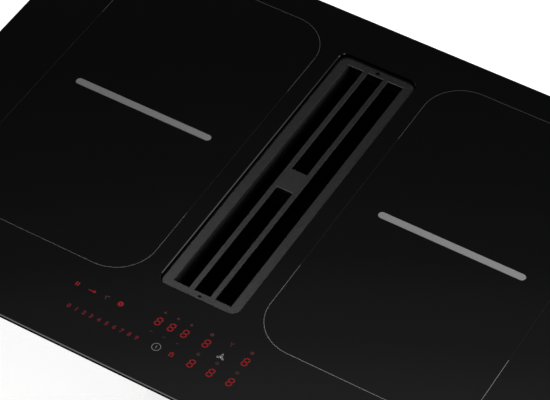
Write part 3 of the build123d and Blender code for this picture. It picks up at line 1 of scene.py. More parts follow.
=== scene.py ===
import bpy
import bmesh
import json
import math
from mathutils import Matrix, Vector


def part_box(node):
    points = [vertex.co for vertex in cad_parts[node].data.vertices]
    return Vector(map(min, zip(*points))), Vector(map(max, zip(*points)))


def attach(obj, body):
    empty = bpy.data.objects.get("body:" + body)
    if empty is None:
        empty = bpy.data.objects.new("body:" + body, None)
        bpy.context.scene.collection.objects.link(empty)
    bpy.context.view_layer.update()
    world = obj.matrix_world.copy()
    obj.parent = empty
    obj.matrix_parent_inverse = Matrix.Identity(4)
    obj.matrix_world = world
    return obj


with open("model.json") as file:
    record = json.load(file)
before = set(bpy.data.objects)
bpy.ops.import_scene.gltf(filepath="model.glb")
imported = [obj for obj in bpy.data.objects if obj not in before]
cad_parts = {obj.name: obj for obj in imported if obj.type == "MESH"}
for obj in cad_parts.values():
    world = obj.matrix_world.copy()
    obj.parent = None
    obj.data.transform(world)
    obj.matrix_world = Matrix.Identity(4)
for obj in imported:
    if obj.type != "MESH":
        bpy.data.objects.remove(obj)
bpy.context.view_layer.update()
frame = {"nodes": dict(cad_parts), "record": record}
nodes = frame["nodes"]
print("frame loaded:", len(nodes), "nodes")

mm = 0.001
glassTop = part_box("glass_top")[1].z


class Wire:  # one output of a node, so that shader sums read as plain arithmetic
    def __init__(self, bench, socket):
        self.bench = bench
        self.socket = socket

    def math(self, operation, *values):
        return self.bench.node("ShaderNodeMath", {"operation": operation}, dict(enumerate(values)))

    def __add__(self, other):
        return self.math("ADD", self, other)

    def __radd__(self, other):
        return self.math("ADD", other, self)

    def __sub__(self, other):
        return self.math("SUBTRACT", self, other)

    def __rsub__(self, other):
        return self.math("SUBTRACT", other, self)

    def __mul__(self, other):
        return self.math("MULTIPLY", self, other)

    def __rmul__(self, other):
        return self.math("MULTIPLY", other, self)

    def __pow__(self, other):
        return self.math("POWER", self, other)

    def __gt__(self, other):
        return self.math("GREATER_THAN", self, other)

    def __lt__(self, other):
        return self.math("LESS_THAN", self, other)

    def __abs__(self):
        return self.math("ABSOLUTE", self)

    def atLeast(self, other):
        return self.math("MAXIMUM", self, other)


class Bench:  # a node tree and what is built in it
    def __init__(self, tree, where):
        self.tree = tree
        self.where = self.node("ShaderNodeTexCoord", {}, {}, where)

    def join(self, value, socket):
        if isinstance(value, Wire):
            self.tree.links.new(value.socket, socket)
        else:
            socket.default_value = value

    def node(self, kind, settings=None, inputs=None, output=0):
        made = self.tree.nodes.new(kind)
        for key, value in (settings or {}).items():
            if key == "stops":
                stops = made.color_ramp.elements
                for index, (place, shade) in enumerate(value):
                    stop = stops[index] if index < 2 else stops.new(place)  # a new ramp has two stops
                    stop.position = place
                    stop.color = (shade, shade, shade, 1)
            else:
                setattr(made, key, value)
        for key, value in (inputs or {}).items():
            self.join(value, made.inputs[key])
        return Wire(self, made.outputs[output])

    def stretched(self, x, y, z):
        return self.node(
            "ShaderNodeVectorMath", {"operation": "MULTIPLY"},
            {0: self.where, 1: (x, y, z)},
        )

    def noise(self, scale, detail=3, vector=None):
        inputs = {"Vector": vector or self.where, "Scale": scale, "Detail": detail}
        return self.node("ShaderNodeTexNoise", {}, inputs)

    def cells(self, scale, output="Distance"):
        return self.node("ShaderNodeTexVoronoi", {}, {"Vector": self.where, "Scale": scale}, output)

    def ramp(self, factor, stops, interpolation):
        made = self.node("ShaderNodeValToRGB", {"stops": stops}, {"Fac": factor})
        made.socket.node.color_ramp.interpolation = interpolation
        return made

    def blend(self, factor, first, second):
        made = self.node("ShaderNodeMix", {"data_type": "RGBA"}, {"Factor": factor}, "Result")
        mixer = made.socket.node
        self.join(first, mixer.inputs[6])  # the mixer's colour sockets: 6 and 7 in, 2 out
        self.join(second, mixer.inputs[7])
        return Wire(self, mixer.outputs[2])

    def bump(self, height, strength, depth):
        inputs = {"Height": height, "Strength": strength, "Distance": depth}
        return self.node("ShaderNodeBump", {}, inputs)

    def axis(self, name, vector=None):
        return self.node("ShaderNodeSeparateXYZ", {}, {0: vector or self.where}, name)

    def facing(self, name):
        normal = self.node("ShaderNodeNewGeometry", {}, {}, "Normal")
        return self.axis(name, normal)


class Finish(Bench):  # one material
    def __init__(self, name, fixed):
        self.material = bpy.data.materials.new(name)
        self.material.use_nodes = True
        super().__init__(self.material.node_tree, "Object")
        self.shader = self.tree.nodes["Principled BSDF"]
        self.set(fixed)

    def set(self, values):
        for name, value in values.items():
            self.join(value, self.shader.inputs[name])


def tone(value, tint=(1, 1, 1)):
    return (value * tint[0], value * tint[1], value * tint[2], 1)


# as the straight edges in the photo give it
camera = {
    "azimuth": 30.94,
    "elevation": 48.44,
    "lens": 173.6,
    "sensor": 36,
    "distance": 2.56,
    "target": (0.0006, -0.0039, 0.210),
    "nearest": 0.05,
    "farthest": 200,
}


def placeCamera():
    azimuth = math.radians(camera["azimuth"])
    elevation = math.radians(camera["elevation"])
    back = Vector((
        math.sin(azimuth) * math.cos(elevation),
        -math.cos(azimuth) * math.cos(elevation),
        math.sin(elevation),
    ))
    data = bpy.data.cameras.new("photoCamera")
    data.lens = camera["lens"]
    data.sensor_width = camera["sensor"]
    data.clip_start = camera["nearest"]
    data.clip_end = camera["farthest"]
    eye = bpy.data.objects.new("photoCamera", data)
    eye.location = Vector(camera["target"]) + back * camera["distance"]
    eye.rotation_euler = back.to_track_quat("Z", "Y").to_euler()
    bpy.context.scene.collection.objects.link(eye)
    bpy.context.scene.camera = eye
    bpy.context.scene.view_settings.view_transform = "Standard"
    bpy.context.scene.view_settings.look = "None"


studioFloor = {
    "radius": 30.0,
    "sides": 64,
    "colors": ((0.62, 0.62, 0.615, 1), tone(0.64, (1, 1, 0.995))),
    "paperScale": 3,
    "glow": 0.80,
    "glowColor": (1, 1, 0.995, 1),
}


def makeFloor():
    radius, sides = studioFloor["radius"], studioFloor["sides"]
    turns = [math.tau * step / sides for step in range(sides)]
    rim = [(radius * math.cos(turn), radius * math.sin(turn), 0) for turn in turns]
    mesh = bpy.data.meshes.new("floor")
    mesh.from_pydata(rim, [], [list(range(sides))])
    made = bpy.data.objects.new("floor", mesh)
    bpy.context.scene.collection.objects.link(made)
    look = Finish("paleFloor", {
        "Specular IOR Level": 0.0,
        "Roughness": 0.9,
        "Emission Strength": studioFloor["glow"],
        "Emission Color": studioFloor["glowColor"],
    })
    paper = look.noise(studioFloor["paperScale"], 2)
    look.set({"Base Color": look.blend(paper, *studioFloor["colors"])})
    mesh.materials.append(look.material)


studioSky = {
    "stops": [  # sine of the elevation, brightness
        (0.00, 0.24), (0.30, 0.16), (0.58, 0.06), (0.71, 0.046), (0.738, 0.068), (0.757, 0.10),
        (0.778, 0.18), (0.796, 0.29), (0.86, 0.8), (0.93, 1.1), (1.0, 1.1),
    ],
    "windows": {  # soft bright patches: direction, degrees to full and to nothing, brightness
        "frontWindow": ((-0.40, -0.78, 0.49), 4.5, 8.0, 3.2),
        "rightWindow": ((0.81, 0.46, 0.37), 3.5, 12.0, 1.7),
        "cornerWindow": ((0.64, -0.36, 0.68), 5.0, 9.0, 1.8),
        "overheadWindow": ((-0.355, 0.37, 0.857), 5.0, 7.2, 9.2),
    },
}


def makeSky():
    world = bpy.data.worlds.new("studioSky")
    world.use_nodes = True
    bpy.context.scene.world = world
    sky = Bench(world.node_tree, "Generated")
    peak = max(value for place, value in studioSky["stops"])
    stops = [(place, value / peak) for place, value in studioSky["stops"]]
    light = sky.ramp(sky.axis("Z"), stops, "EASE") * peak
    for direction, inner, outer, brightness in studioSky["windows"].values():
        toward = sky.node(
            "ShaderNodeVectorMath", {"operation": "DOT_PRODUCT"},
            {0: sky.where, 1: Vector(direction).normalized()}, "Value",
        )
        patch = sky.node("ShaderNodeMapRange", {"interpolation_type": "SMOOTHSTEP"}, {
            "Value": toward,
            "From Min": math.cos(math.radians(outer)),
            "From Max": math.cos(math.radians(inner)),
        })
        light = light + patch * brightness
    sky.join(light, world.node_tree.nodes["Background"].inputs["Color"])


placeCamera()
makeFloor()
makeSky()
print("studio made")


finishes = {}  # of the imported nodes, by material slot

glassLook = {
    "shade": 0.0011,
    "smearShade": 0.00165,
    "smearTint": (1, 1.02, 1.06),
    "gloss": 0.035,
    "smear": 0.03,
    "dust": 0.01,
}


def makeBlackGlass():
    look = Finish("blackGlass", {"Specular IOR Level": 0.0, "Coat IOR": 1.5, "Coat Roughness": 0.02})
    smear = look.noise(9, 4, look.stretched(1, 2.2, 1))
    dust = look.noise(420, 2)
    clean, smeared = tone(glassLook["shade"]), tone(glassLook["smearShade"], glassLook["smearTint"])
    look.set({
        "Base Color": look.blend(smear, clean, smeared),
        "Roughness": glassLook["gloss"] + smear * glassLook["smear"] + dust * glassLook["dust"],
        "Coat Weight": look.facing("Z") > 0.3,  # the ground edges have no shine
    })
    return look


grilleLook = {
    "dark": tone(0.0072, (0.98, 1, 1.02)),
    "light": tone(0.0125, (1, 1, 1.01)),
    "gloss": 0.165,
    "skin": 0.05,
    "grain": 0.04,
    "paintedLightHeight": 14 * mm,  # painted light: the slot walls are painted paler towards the top, where light reaches them
    "paintedLightShade": 0.115,
    "paintedLightFade": 1.2,
    "holeFromEnd": 5 * mm,
    "frontHoleShadow": 1.5 * mm,  # painted shadow: black a little past the lift holes' bores, standing in for the shade in them, so that they read
    "rearHoleShadow": 1.85 * mm,
}


def liftHoles(look, low, high):
    middleY = (low.y + high.y) / 2
    along = abs(look.axis("Y") - middleY) - (high.y - middleY - grilleLook["holeFromEnd"])
    front, rear = grilleLook["frontHoleShadow"] ** 2, grilleLook["rearHoleShadow"] ** 2
    limit = (look.axis("Y") > middleY) * (rear - front) + front
    return abs(look.axis("X")) ** 2 + abs(along) ** 2 < limit


def makeCastEnamel():
    look = Finish("castEnamel", {"Specular IOR Level": 0.5})
    low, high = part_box("inlet_grille")
    grain = look.noise(1500, 3)
    skin = look.noise(260, 4)
    cloud = look.noise(16, 3)
    paint = look.blend(cloud * 0.6 + grain * 0.4, grilleLook["dark"], grilleLook["light"])
    # painted light: walls facing along X get a paler colour that fades from the top down to the foot
    wall = abs(look.facing("X")) > 0.6
    foot = high.z - grilleLook["paintedLightHeight"]
    rise = (look.axis("Z") - foot) * (1 / grilleLook["paintedLightHeight"])
    lit = wall * rise.atLeast(0) ** grilleLook["paintedLightFade"]
    # painted shadow: the lift holes are painted black
    holeShadow = liftHoles(look, low, high)
    look.set({
        "Base Color": look.blend(holeShadow, look.blend(lit, paint, tone(grilleLook["paintedLightShade"])), tone(0)),
        "Metallic": holeShadow,
        "Roughness": grilleLook["gloss"] + skin * grilleLook["skin"] + grain * grilleLook["grain"],
        "Normal": look.bump(grain * 0.55 + skin * 0.45, 0.12, 0.0001),
    })
    return look


rubbers = {  # name, shade, roughness, scale of the grain
    "foam_seal": ("foamTape", 0.030, 0.78, 700),
    "silicone": ("sealantBead", 0.060, 0.42, 260),
    "rubber_foot": ("mouldedRubber", 0.022, 0.62, 1100),
    "gasket": ("gasketRubber", 0.026, 0.58, 900),
}


def makeRubber(name, shade, roughness, grainScale):
    look = Finish(name, {"Specular IOR Level": 0.3})
    grain = look.noise(grainScale, 4)
    bloom = look.noise(40, 3)
    look.set({
        "Base Color": look.blend(bloom, tone(shade * 0.8), tone(shade * 1.35)),
        "Roughness": roughness + grain * 0.12,
        "Normal": look.bump(grain, 0.4, 0.0003),
    })
    return look


mouldings = {  # name, shade, tint, roughness
    "black_plastic": ("blackMoulding", 0.030, (1, 1, 1.02), 0.46),
    "grey_plastic": ("greyMoulding", 0.13, (0.98, 1, 1.02), 0.44),
    "former_plastic": ("formerMoulding", 0.66, (1, 0.98, 0.91), 0.50),
    "white_plastic": ("whiteMoulding", 0.74, (1, 1, 0.97), 0.45),
}


def makeMoulding(name, shade, tint, roughness):
    look = Finish(name, {"Specular IOR Level": 0.45})
    spark = look.cells(2100)
    grain = look.noise(900, 3)
    flow = look.noise(11, 4, look.stretched(1, 1, 2.5))
    look.set({
        "Base Color": look.blend(flow, tone(shade * 0.88, tint), tone(shade * 1.14, tint)),
        "Roughness": roughness + flow * 0.08 + grain * 0.06,
        "Normal": look.bump(spark * 0.6 + grain * 0.4, 0.28, 0.0002),
    })
    return look


brushedSheets = {  # name, dark and light shade, tint, roughness, stretch of the brushing
    "plated_steel": ("zincPlate", 0.46, 0.66, (1, 0.99, 0.94), 0.26, (1, 1, 0.2)),
    "spring_steel": ("springStrip", 0.40, 0.56, (1, 1, 1.02), 0.28, (1, 0.15, 1)),
    "aluminium_sheet": ("millAluminium", 0.60, 0.76, (1, 1, 1.01), 0.30, (0.1, 1, 1)),
}


def makeBrushed(name, dark, light, tint, roughness, along):
    look = Finish(name, {"Metallic": 1.0})
    lines = look.noise(260, 5, look.stretched(*along))
    haze = look.noise(30, 3)
    look.set({
        "Base Color": look.blend(lines * 0.6 + haze * 0.4, tone(dark, tint), tone(light, tint)),
        "Roughness": roughness + lines * 0.16 + haze * 0.06,
        "Normal": look.bump(lines, 0.16, 0.0001),
    })
    return look


filterSheets = {  # name, node, painted shade of the inside, roughness, scale of the drawing lines
    "filter_metal": ("cassetteSheet", "filter_frame", 0.0016, 0.50, 300),
    "mesh_metal": ("meshSheet", "filter_mesh", 0.0022, 0.46, 420),
}
filterOutside = {"shade": 0.16, "metal": 0.85, "polish": 0.12, "skin": 0.3 * mm}  # the outer faces are left plain metal; the inside is painted shade


def makeAnodised(name, node, shade, roughness, drawScale):
    look = Finish(name, {"Specular IOR Level": 0.0})
    low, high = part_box(node)
    drawn = look.noise(drawScale, 4, look.stretched(1, 0.12, 1))
    haze = look.noise(34, 3)
    grain = drawn * 0.5 + haze * 0.5
    # painted shade: the inside is near-black, standing in for the shade below the grille
    black = look.blend(grain, tone(shade * 0.7, (1, 1, 1.04)), tone(shade * 1.4))
    bare = filterOutside["shade"]
    plain = look.blend(grain, tone(bare * 0.8), tone(bare * 1.25, (1, 1, 1.02)))
    middleY = (low.y + high.y) / 2
    beyondX = abs(look.axis("X")) > high.x - filterOutside["skin"]
    beyondY = abs(look.axis("Y") - middleY) > high.y - middleY - filterOutside["skin"]
    outside = beyondX.atLeast(beyondY)
    look.set({
        "Base Color": look.blend(outside, black, plain),
        "Metallic": outside * filterOutside["metal"],
        "Roughness": roughness + drawn * 0.12 - outside * filterOutside["polish"],
        "Normal": look.bump(drawn, 0.12, 0.0001),
    })
    return look


galvanisedLook = {
    "dark": tone(0.42, (0.97, 1, 1.03)),
    "light": tone(0.60, (0.98, 1, 1.02)),
    "spangleScale": 95,
    "metal": 0.82,
    "roughness": 0.34,
}


def makeGalvanised():
    look = Finish("galvanisedSheet", {"Specular IOR Level": 0.5})
    shimmer = look.axis("X", look.cells(galvanisedLook["spangleScale"], "Color"))
    edge = look.cells(galvanisedLook["spangleScale"])
    haze = look.noise(26, 4)
    spangle = shimmer * 0.7 + haze * 0.3
    look.set({
        "Base Color": look.blend(spangle, galvanisedLook["dark"], galvanisedLook["light"]),
        "Metallic": galvanisedLook["metal"] + haze * 0.12,
        "Roughness": galvanisedLook["roughness"] + shimmer * 0.14 + haze * 0.08,
        "Normal": look.bump(edge, 0.10, 0.0002),
    })
    return look


windingLook = {
    "dark": (0.52, 0.20, 0.085, 1),
    "light": (0.72, 0.34, 0.17, 1),
    "strandScale": 2600,
    "roughness": 0.26,
}


def makeWinding():
    look = Finish("windingCopper", {"Metallic": 1.0, "Coat Weight": 0.6, "Coat Roughness": 0.12})
    strand = look.noise(windingLook["strandScale"], 2, look.stretched(1, 1, 0.4))
    age = look.noise(60, 3)
    look.set({
        "Base Color": look.blend(age, windingLook["dark"], windingLook["light"]),
        "Roughness": windingLook["roughness"] + strand * 0.16,
        "Normal": look.bump(strand, 0.45, 0.0003),
    })
    return look


ferriteLook = {
    "dark": tone(0.045),
    "light": tone(0.075, (1, 1, 1.05)),
    "pitScale": 1300,
    "roughness": 0.62,
}


def makeSintered():
    look = Finish("sinteredBlock", {"Specular IOR Level": 0.35})
    pit = look.cells(ferriteLook["pitScale"])
    cloud = look.noise(70, 3)
    look.set({
        "Base Color": look.blend(cloud, ferriteLook["dark"], ferriteLook["light"]),
        "Roughness": ferriteLook["roughness"] + pit * 0.2,
        "Normal": look.bump(pit, 0.3, 0.0003),
    })
    return look


micaLook = {
    "dark": (0.60, 0.56, 0.44, 1),
    "light": (0.80, 0.77, 0.66, 1),
    "flakeScale": 260,
    "roughness": 0.30,
}


def makeMica():
    look = Finish("micaSheet", {"Specular IOR Level": 0.5})
    flake = look.axis("Y", look.cells(micaLook["flakeScale"], "Color"))
    look.set({
        "Base Color": look.blend(flake, micaLook["dark"], micaLook["light"]),
        "Roughness": micaLook["roughness"] + flake * 0.3,
    })
    return look


boardLook = {
    "mask": (0.010, 0.085, 0.040, 1),
    "track": (0.028, 0.19, 0.085, 1),
    "solder": (0.62, 0.63, 0.64, 1),
    "trackScale": 90.0,
    "solderScale": 520,
    "solderSize": 0.16,
    "roughness": 0.32,
}


def makeBoard():
    look = Finish("solderMask", {"Coat Weight": 0.5, "Coat Roughness": 0.1})
    track = look.node("ShaderNodeTexBrick", {"offset": 0.37, "squash": 1.6}, {
        "Vector": look.where,
        "Scale": boardLook["trackScale"],
        "Mortar Size": 0.06,
        "Mortar Smooth": 0.2,
    }, "Fac")
    solder = look.cells(boardLook["solderScale"]) < boardLook["solderSize"]
    body = look.blend(track, boardLook["mask"], boardLook["track"])
    look.set({
        "Base Color": look.blend(solder, body, boardLook["solder"]),
        "Roughness": boardLook["roughness"] + solder * 0.1 + track * 0.08,
        "Normal": look.bump(track, 0.2, 0.0002),
    })
    return look


laminationLook = {
    "dark": tone(0.20),
    "light": tone(0.46, (1, 1, 1.04)),
    "layerScale": 310.0,
    "roughness": 0.42,
}


def makeLamination():
    look = Finish("laminations", {"Metallic": 1.0})
    layer = look.node("ShaderNodeTexWave", {"bands_direction": "Z"}, {
        "Vector": look.where,
        "Scale": laminationLook["layerScale"],
        "Distortion": 0.2,
    })
    haze = look.noise(120, 3)
    look.set({
        "Base Color": look.blend(
            layer * 0.6 + haze * 0.4, laminationLook["dark"], laminationLook["light"],
        ),
        "Roughness": laminationLook["roughness"] + haze * 0.18,
        "Normal": look.bump(layer, 0.4, 0.0002),
    })
    return look


finishes["black_glass"] = makeBlackGlass()
finishes["cast_black"] = makeCastEnamel()
finishes["galvanised"] = makeGalvanised()
finishes["copper"] = makeWinding()
finishes["ferrite"] = makeSintered()
finishes["mica"] = makeMica()
finishes["circuit_board"] = makeBoard()
finishes["lamination"] = makeLamination()
for maker, kinds in (
    (makeRubber, rubbers),
    (makeMoulding, mouldings),
    (makeBrushed, brushedSheets),
    (makeAnodised, filterSheets),
):
    for slotName, values in kinds.items():
        finishes[slotName] = maker(*values)

for entry in frame["record"]["subparts"]:
    target = nodes[entry["node"]]
    target.data.materials.clear()
    target.data.materials.append(finishes[entry["material_slot"]].material)


# marks are flat on the glass, and their places and sizes are in millimetres
printing = {"rise": 0.04 * mm, "sink": 0.03 * mm}


def addMark(name, mesh, finish):
    mesh.materials.clear()
    mesh.materials.append(finish.material)
    piece = bpy.data.objects.new(name, mesh)
    bpy.context.scene.collection.objects.link(piece)
    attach(piece, "root")


def stampMarks(name, shapes, finish):
    # each shape is a closed outline, or a pair of matching outer and inner outlines
    draft = bmesh.new()
    high, low = glassTop + printing["rise"], glassTop - printing["sink"]

    def ringOf(points, z):
        return [draft.verts.new((x * mm, y * mm, z)) for x, y in points]

    for shape in shapes:
        if isinstance(shape, tuple):
            outer, inner = shape
            loops = [ringOf(outer, high), ringOf(inner, high), ringOf(inner, low), ringOf(outer, low)]
            for one, two in ((loops[0], loops[1]), (loops[1], loops[2]), (loops[3], loops[0])):
                for step in range(len(outer)):
                    after = (step + 1) % len(outer)
                    draft.faces.new((one[step], one[after], two[after], two[step]))
        else:
            top, bottom = ringOf(shape, high), ringOf(shape, low)
            draft.faces.new(top)
            for step in range(len(shape)):
                after = (step + 1) % len(shape)
                draft.faces.new((top[step], bottom[step], bottom[after], top[after]))
    bmesh.ops.recalc_face_normals(draft, faces=draft.faces)
    mesh = bpy.data.meshes.new(name)
    draft.to_mesh(mesh)
    draft.free()
    addMark(name, mesh, finish)


def arcPoints(centerX, centerY, radius, start, end, steps):
    turns = [math.radians(start + (end - start) * step / steps) for step in range(steps + 1)]
    return [(centerX + radius * math.cos(turn), centerY + radius * math.sin(turn)) for turn in turns]


def stroke(points, width):
    # a mitred ribbon along an open line
    left, right = [], []
    for index, (x, y) in enumerate(points):
        before = points[max(index - 1, 0)]
        after = points[min(index + 1, len(points) - 1)]
        along = Vector((after[0] - before[0], after[1] - before[1])).normalized()
        bend = 1.0
        if 0 < index < len(points) - 1:
            arrive = Vector((x - before[0], y - before[1])).normalized()
            bend = 1 / max(arrive.dot(along), 0.5)
        side = Vector((-along.y, along.x)) * width / 2 * bend
        left.append((x + side.x, y + side.y))
        right.append((x - side.x, y - side.y))
    return left + right[::-1]


def ring(x, y, radius, width, steps):
    outer = arcPoints(x, y, radius, 0, 360, steps)
    inner = arcPoints(x, y, radius - width, 0, 360, steps)
    return (outer[:-1], inner[:-1])


def squareRing(x, y, width, height, line):
    loops = []
    for inset in (0, line):
        across, up = width / 2 - inset, height / 2 - inset
        loops.append([
            (x - across, y - up), (x + across, y - up),
            (x + across, y + up), (x - across, y + up),
        ])
    return tuple(loops)


def bar(x0, y0, x1, y1, width):
    return stroke([(x0, y0), (x1, y1)], width)


zoneLines = {
    "innerX": 63.4,
    "outerX": 285.2,
    "frontY": -159.85,
    "backY": 223.2,
    "corner": 43.0,
    "cornerSteps": 16,
    "boldFront": -62.0,  # the bold line runs round the corners up to here
    "boldBack": 127.0,
    "boldWidth": 0.55,
    "fineWidth": 0.34,
    "dotScale": 1400,
    "paintedLightSlope": 4,  # painted light: the ink is painted lighter towards the front right, where the light falls brighter
    "paintedLightStart": 0.2,
}


def zoneBracket(side, rear):
    spot = zoneLines
    innerX, outerX = side * spot["innerX"], side * spot["outerX"]
    edgeY = spot["backY"] if rear else spot["frontY"]
    stopY = spot["boldBack"] if rear else spot["boldFront"]
    inward = -1 if rear else 1
    corner, steps = spot["corner"], spot["cornerSteps"]
    turns = [math.radians(90 * step / steps) for step in range(steps + 1)]
    points = [(innerX, stopY)]
    for turn in turns:
        points.append((
            innerX + side * corner * (1 - math.cos(turn)),
            edgeY + inward * corner * (1 - math.sin(turn)),
        ))
    for turn in turns:
        points.append((
            outerX - side * corner * (1 - math.sin(turn)),
            edgeY + inward * corner * (1 - math.cos(turn)),
        ))
    points.append((outerX, stopY))
    return stroke(points, spot["boldWidth"])


lineInks = {  # name, shade at the dim and at the lit end of the painted light, gloss, roughness
    "bold": ("zoneBoldPrint", 0.070, 0.31, 0.5, 0.16),
    "fine": ("zoneFinePrint", 0.016, 0.022, 0.1, 0.3),
}


def makeLinePrint(name, faint, full, gloss, roughness):
    look = Finish(name, {"Specular IOR Level": gloss})
    dot = look.cells(zoneLines["dotScale"])
    slope, start = zoneLines["paintedLightSlope"], zoneLines["paintedLightStart"]
    # painted light: the colour runs from the faint to the full shade towards the front right
    lean = look.axis("X") * slope - look.axis("Y") * slope - start
    look.set({
        "Base Color": look.blend(lean * 0.85 + dot * 0.15, tone(faint), tone(full)),
        "Roughness": roughness + dot * 0.12,
    })
    return look


zoneBar = {
    "y": 32.3,
    "start": 95.0,
    "end": 253.7,
    "width": 8.0,
    "endSteps": 16,
    "dark": tone(0.20),
    "light": tone(0.44, (1, 1, 1.01)),
    "dotScale": 900,
    "paintedLightSlope": 2.2,  # painted light: lighter to the right, where the light falls brighter
    "paintedLightMiddle": 0.5,
}


def makeBarPrint():
    look = Finish("zoneBarPrint", {"Specular IOR Level": 0.25})
    dot = look.cells(zoneBar["dotScale"])
    # painted light: the colour runs lighter to the right
    lean = look.axis("X") * zoneBar["paintedLightSlope"] + zoneBar["paintedLightMiddle"]
    look.set({
        "Base Color": look.blend(lean * 0.8 + dot * 0.2, zoneBar["dark"], zoneBar["light"]),
        "Roughness": 0.5 + dot * 0.12,
    })
    return look


boldPrint = makeLinePrint(*lineInks["bold"])
finePrint = makeLinePrint(*lineInks["fine"])
barPrint = makeBarPrint()

for sideName, side in {"left": -1, "right": 1}.items():
    brackets = [zoneBracket(side, False), zoneBracket(side, True)]
    stampMarks(f"zone_brackets_{sideName}", brackets, boldPrint)
    fineLines = [
        bar(x, zoneLines["boldFront"], x, zoneLines["boldBack"], zoneLines["fineWidth"])
        for x in (side * zoneLines["innerX"], side * zoneLines["outerX"])
    ]
    stampMarks(f"zone_lines_{sideName}", fineLines, finePrint)
    half = zoneBar["width"] / 2
    start, end = zoneBar["start"] + half, zoneBar["end"] - half
    outline = arcPoints(start, zoneBar["y"], half, 90, 270, zoneBar["endSteps"])
    outline += arcPoints(end, zoneBar["y"], half, -90, 90, zoneBar["endSteps"])
    stampMarks(f"zone_bar_{sideName}", [[(side * x, y) for x, y in outline]], barPrint)
print("zone marks printed")


panelLights = {
    "red": (0.27, 0.014, 0.017),
    "numberRed": (0.118, 0.013, 0.021),
    "dimRed": (0.090, 0.026, 0.032),
    "faintRed": (0.052, 0.026, 0.030),
    "white": (0.66, 0.66, 0.66),
    "softWhite": (0.20, 0.20, 0.20),
}


def makeGlow(name, color):
    look = Finish(name, {
        "Base Color": tone(0.004),
        "Specular IOR Level": 0.0,
        "Roughness": 0.5,
        "Emission Strength": 1.0,
    })
    flicker = look.noise(1900, 2)
    cool = tuple(part * 0.82 for part in color)
    look.set({"Emission Color": look.blend(flicker, cool + (1,), color + (1,))})
    return look


glows = {
    name: makeGlow("lit" + name[0].upper() + name[1:], color)
    for name, color in panelLights.items()
}

digit = {
    "width": 6.1,
    "height": 10.0,
    "line": 1.25,
    "gap": 0.30,
    "slant": 0.10,
    "displays": {
        "timer_digits": [(-14.5, -188.5), (-0.3, -188.5), (14.2, -188.5)],
        "level_digits_rear": [(37.3, -188.0), (79.5, -188.0)],
        "level_digits_front": [(37.5, -215.0), (58.5, -215.0), (79.5, -215.0)],
    },
}


def segmentDigit(x, y):
    # seven lit bars with pointed ends: three lie across and four stand at the sides
    thick, gap = digit["line"] / 2, digit["gap"]
    halfWidth, halfHeight = digit["width"] / 2 - thick, digit["height"] / 2 - thick
    shapes = []
    for name in "abcdefg":
        if name in "agd":
            level = {"a": halfHeight, "g": 0.0, "d": -halfHeight}[name]
            run = halfWidth - gap
            outline = [
                (-run, level), (-run + thick, level + thick), (run - thick, level + thick),
                (run, level), (run - thick, level - thick), (-run + thick, level - thick),
            ]
        else:
            across = halfWidth if name in "bc" else -halfWidth
            middle = halfHeight / 2 if name in "bf" else -halfHeight / 2
            run = halfHeight / 2 - gap
            outline = [
                (across, middle + run), (across + thick, middle + run - thick),
                (across + thick, middle - run + thick), (across, middle - run),
                (across - thick, middle - run + thick), (across - thick, middle + run - thick),
            ]
        shapes.append([(x + px + py * digit["slant"], y + py) for px, py in outline])
    return shapes


for name, places in digit["displays"].items():
    stampMarks(name, [shape for x, y in places for shape in segmentDigit(x, y)], glows["red"])

timerMarks = {
    "plusY": -176.5,
    "minusY": -201.8,
    "reach": 1.6,
    "plusLine": 0.8,
    "minusLine": 0.7,
}


def makeTimerMarks():
    reach, line = timerMarks["reach"], timerMarks["plusLine"]
    y, low = timerMarks["plusY"], timerMarks["minusY"]
    plus, minus = [], []
    for x, _ in digit["displays"]["timer_digits"]:
        plus += [
            bar(x - reach, y, x + reach, y, line),
            bar(x, y - reach, x, y - line / 2, line),
            bar(x, y + line / 2, x, y + reach, line),
        ]
        minus.append(bar(x - reach, low, x + reach, low, timerMarks["minusLine"]))
    stampMarks("timer_plus_marks", plus, glows["dimRed"])
    stampMarks("timer_minus_marks", minus, glows["faintRed"])


makeTimerMarks()

pointers = {
    "radius": 1.8,
    "line": 1.1,
    "steps": 20,
    "rows": {
        "zone_pointers_rear": ("dimRed", [(36.5, -176.5), (79.5, -176.0)]),
        "zone_pointers_front": ("faintRed", [(37.5, -202.5), (58.0, -202.5), (79.5, -202.5)]),
    },
}
for name, (shade, places) in pointers["rows"].items():
    rings = [ring(x, y, pointers["radius"], pointers["line"], pointers["steps"]) for x, y in places]
    stampMarks(name, rings, glows[shade])

innerKeys = {  # light and shapes
    "bridge_mark": ("dimRed", [
        stroke([(56.2, -174.6), (58.0, -177.0), (59.8, -174.6)], 0.6),
        bar(58.0, -177.2, 58.0, -179.6, 0.6),
    ]),
    "power_mark": ("softWhite", [
        ring(-0.3, -215.0, 4.5, 0.55, 48),
        bar(-0.3, -213.3, -0.3, -216.7, 0.6),
    ]),
}
for name, (shade, shapes) in innerKeys.items():
    stampMarks(name, shapes, glows[shade])

fanMark = {
    "x": 57.0,
    "y": -194.5,
    "turns": (80, 200, 320),
    "reach": 4.1,
    "width": 1.9,
    "line": 0.22,
    "lean": 0.12,
    "steps": 12,
}


def fanBlade(turn):
    # one hollow petal, from the hub outwards
    spin = math.radians(turn)
    half = fanMark["reach"] / 2
    loops = []
    for inset in (0, fanMark["line"]):
        wide = fanMark["width"] / 2 - inset
        loop = []
        for step in range(2 * fanMark["steps"]):
            angle = math.pi * step / fanMark["steps"]
            px = half + (half - inset) * math.cos(angle)
            py = wide * math.sin(angle) + fanMark["lean"] * px
            loop.append((
                fanMark["x"] + px * math.cos(spin) - py * math.sin(spin),
                fanMark["y"] + px * math.sin(spin) + py * math.cos(spin),
            ))
        loops.append(loop)
    return tuple(loops)


stampMarks("fan_mark", [fanBlade(turn) for turn in fanMark["turns"]], glows["white"])

lockMark = {
    "x": 16.4,
    "foot": -217.8,
    "width": 4.4,
    "height": 3.6,
    "line": 0.8,
    "shackle": 1.4,
    "shackleLine": 0.7,
    "shackleTurns": (5, 175),
    "shackleSteps": 10,
}


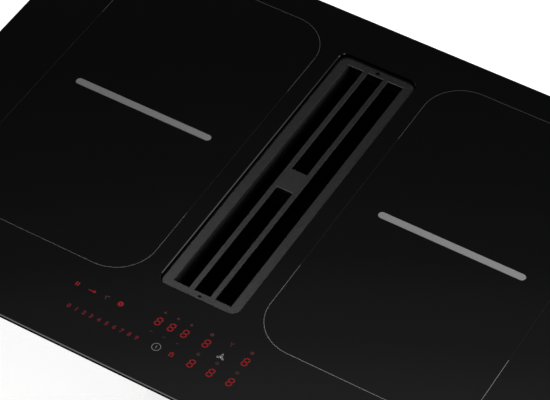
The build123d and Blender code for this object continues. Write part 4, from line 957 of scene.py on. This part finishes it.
def makeLock():
    x, foot, height = lockMark["x"], lockMark["foot"], lockMark["height"]
    body = squareRing(x, foot + height / 2, lockMark["width"], height, lockMark["line"])
    start, end = lockMark["shackleTurns"]
    arch = arcPoints(x, foot + height, lockMark["shackle"], start, end, lockMark["shackleSteps"])
    stampMarks("lock_mark", [body, stroke(arch, lockMark["shackleLine"])], glows["red"])


makeLock()

sliderNumbers = {
    "x": [-97.0, -88.5, -80.0, -72.0, -63.5, -55.0, -46.5, -38.5, -30.0, -22.0],
    "y": -215.5,
    "size": 6.4,
    "slant": 0.12,
    "bolder": 0.30,
    "curveSteps": 4,
}


def makeNumber(text, x):
    name = f"slider_number_{text}"
    curve = bpy.data.curves.new(name, "FONT")
    curve.body = text
    curve.size = sliderNumbers["size"] * mm
    curve.align_x = "CENTER"
    curve.align_y = "CENTER"
    curve.shear = sliderNumbers["slant"]
    curve.offset = sliderNumbers["bolder"] * mm
    curve.extrude = (printing["rise"] + printing["sink"]) / 2
    curve.resolution_u = sliderNumbers["curveSteps"]
    source = bpy.data.objects.new(name, curve)
    bpy.context.scene.collection.objects.link(source)
    drawn = source.evaluated_get(bpy.context.evaluated_depsgraph_get())
    mesh = bpy.data.meshes.new_from_object(drawn)
    bpy.data.objects.remove(source)
    mesh.name = name
    for corner in mesh.vertices:
        corner.co = Vector((
            corner.co.x + x * mm,
            corner.co.y + sliderNumbers["y"] * mm,
            corner.co.z + glassTop + (printing["rise"] - printing["sink"]) / 2,
        ))
    addMark(name, mesh, glows["numberRed"])


for index, x in enumerate(sliderNumbers["x"]):
    makeNumber(str(index), x)

keyRow = {  # light and shapes
    "pause_mark": ("red", [
        bar(-105.6, -187.0, -105.6, -191.4, 1.3),
        bar(-103.2, -187.0, -103.2, -191.4, 1.3),
    ]),
    "arrow_mark": ("red", [
        bar(-91.5, -189.6, -85.6, -189.6, 0.9),
        [(-86.2, -187.5), (-83.2, -189.4), (-86.2, -191.3)],
    ]),
    "warm_mark": ("faintRed", [stroke([(-69.0, -186.9), (-73.3, -188.3), (-71.6, -191.6)], 1.2)]),
    "boost_mark": ("red", [ring(-56.2, -189.1, 2.9, 2.0, 32)]),
}
for name, (shade, shapes) in keyRow.items():
    stampMarks(name, shapes, glows[shade])
print("panel lit")
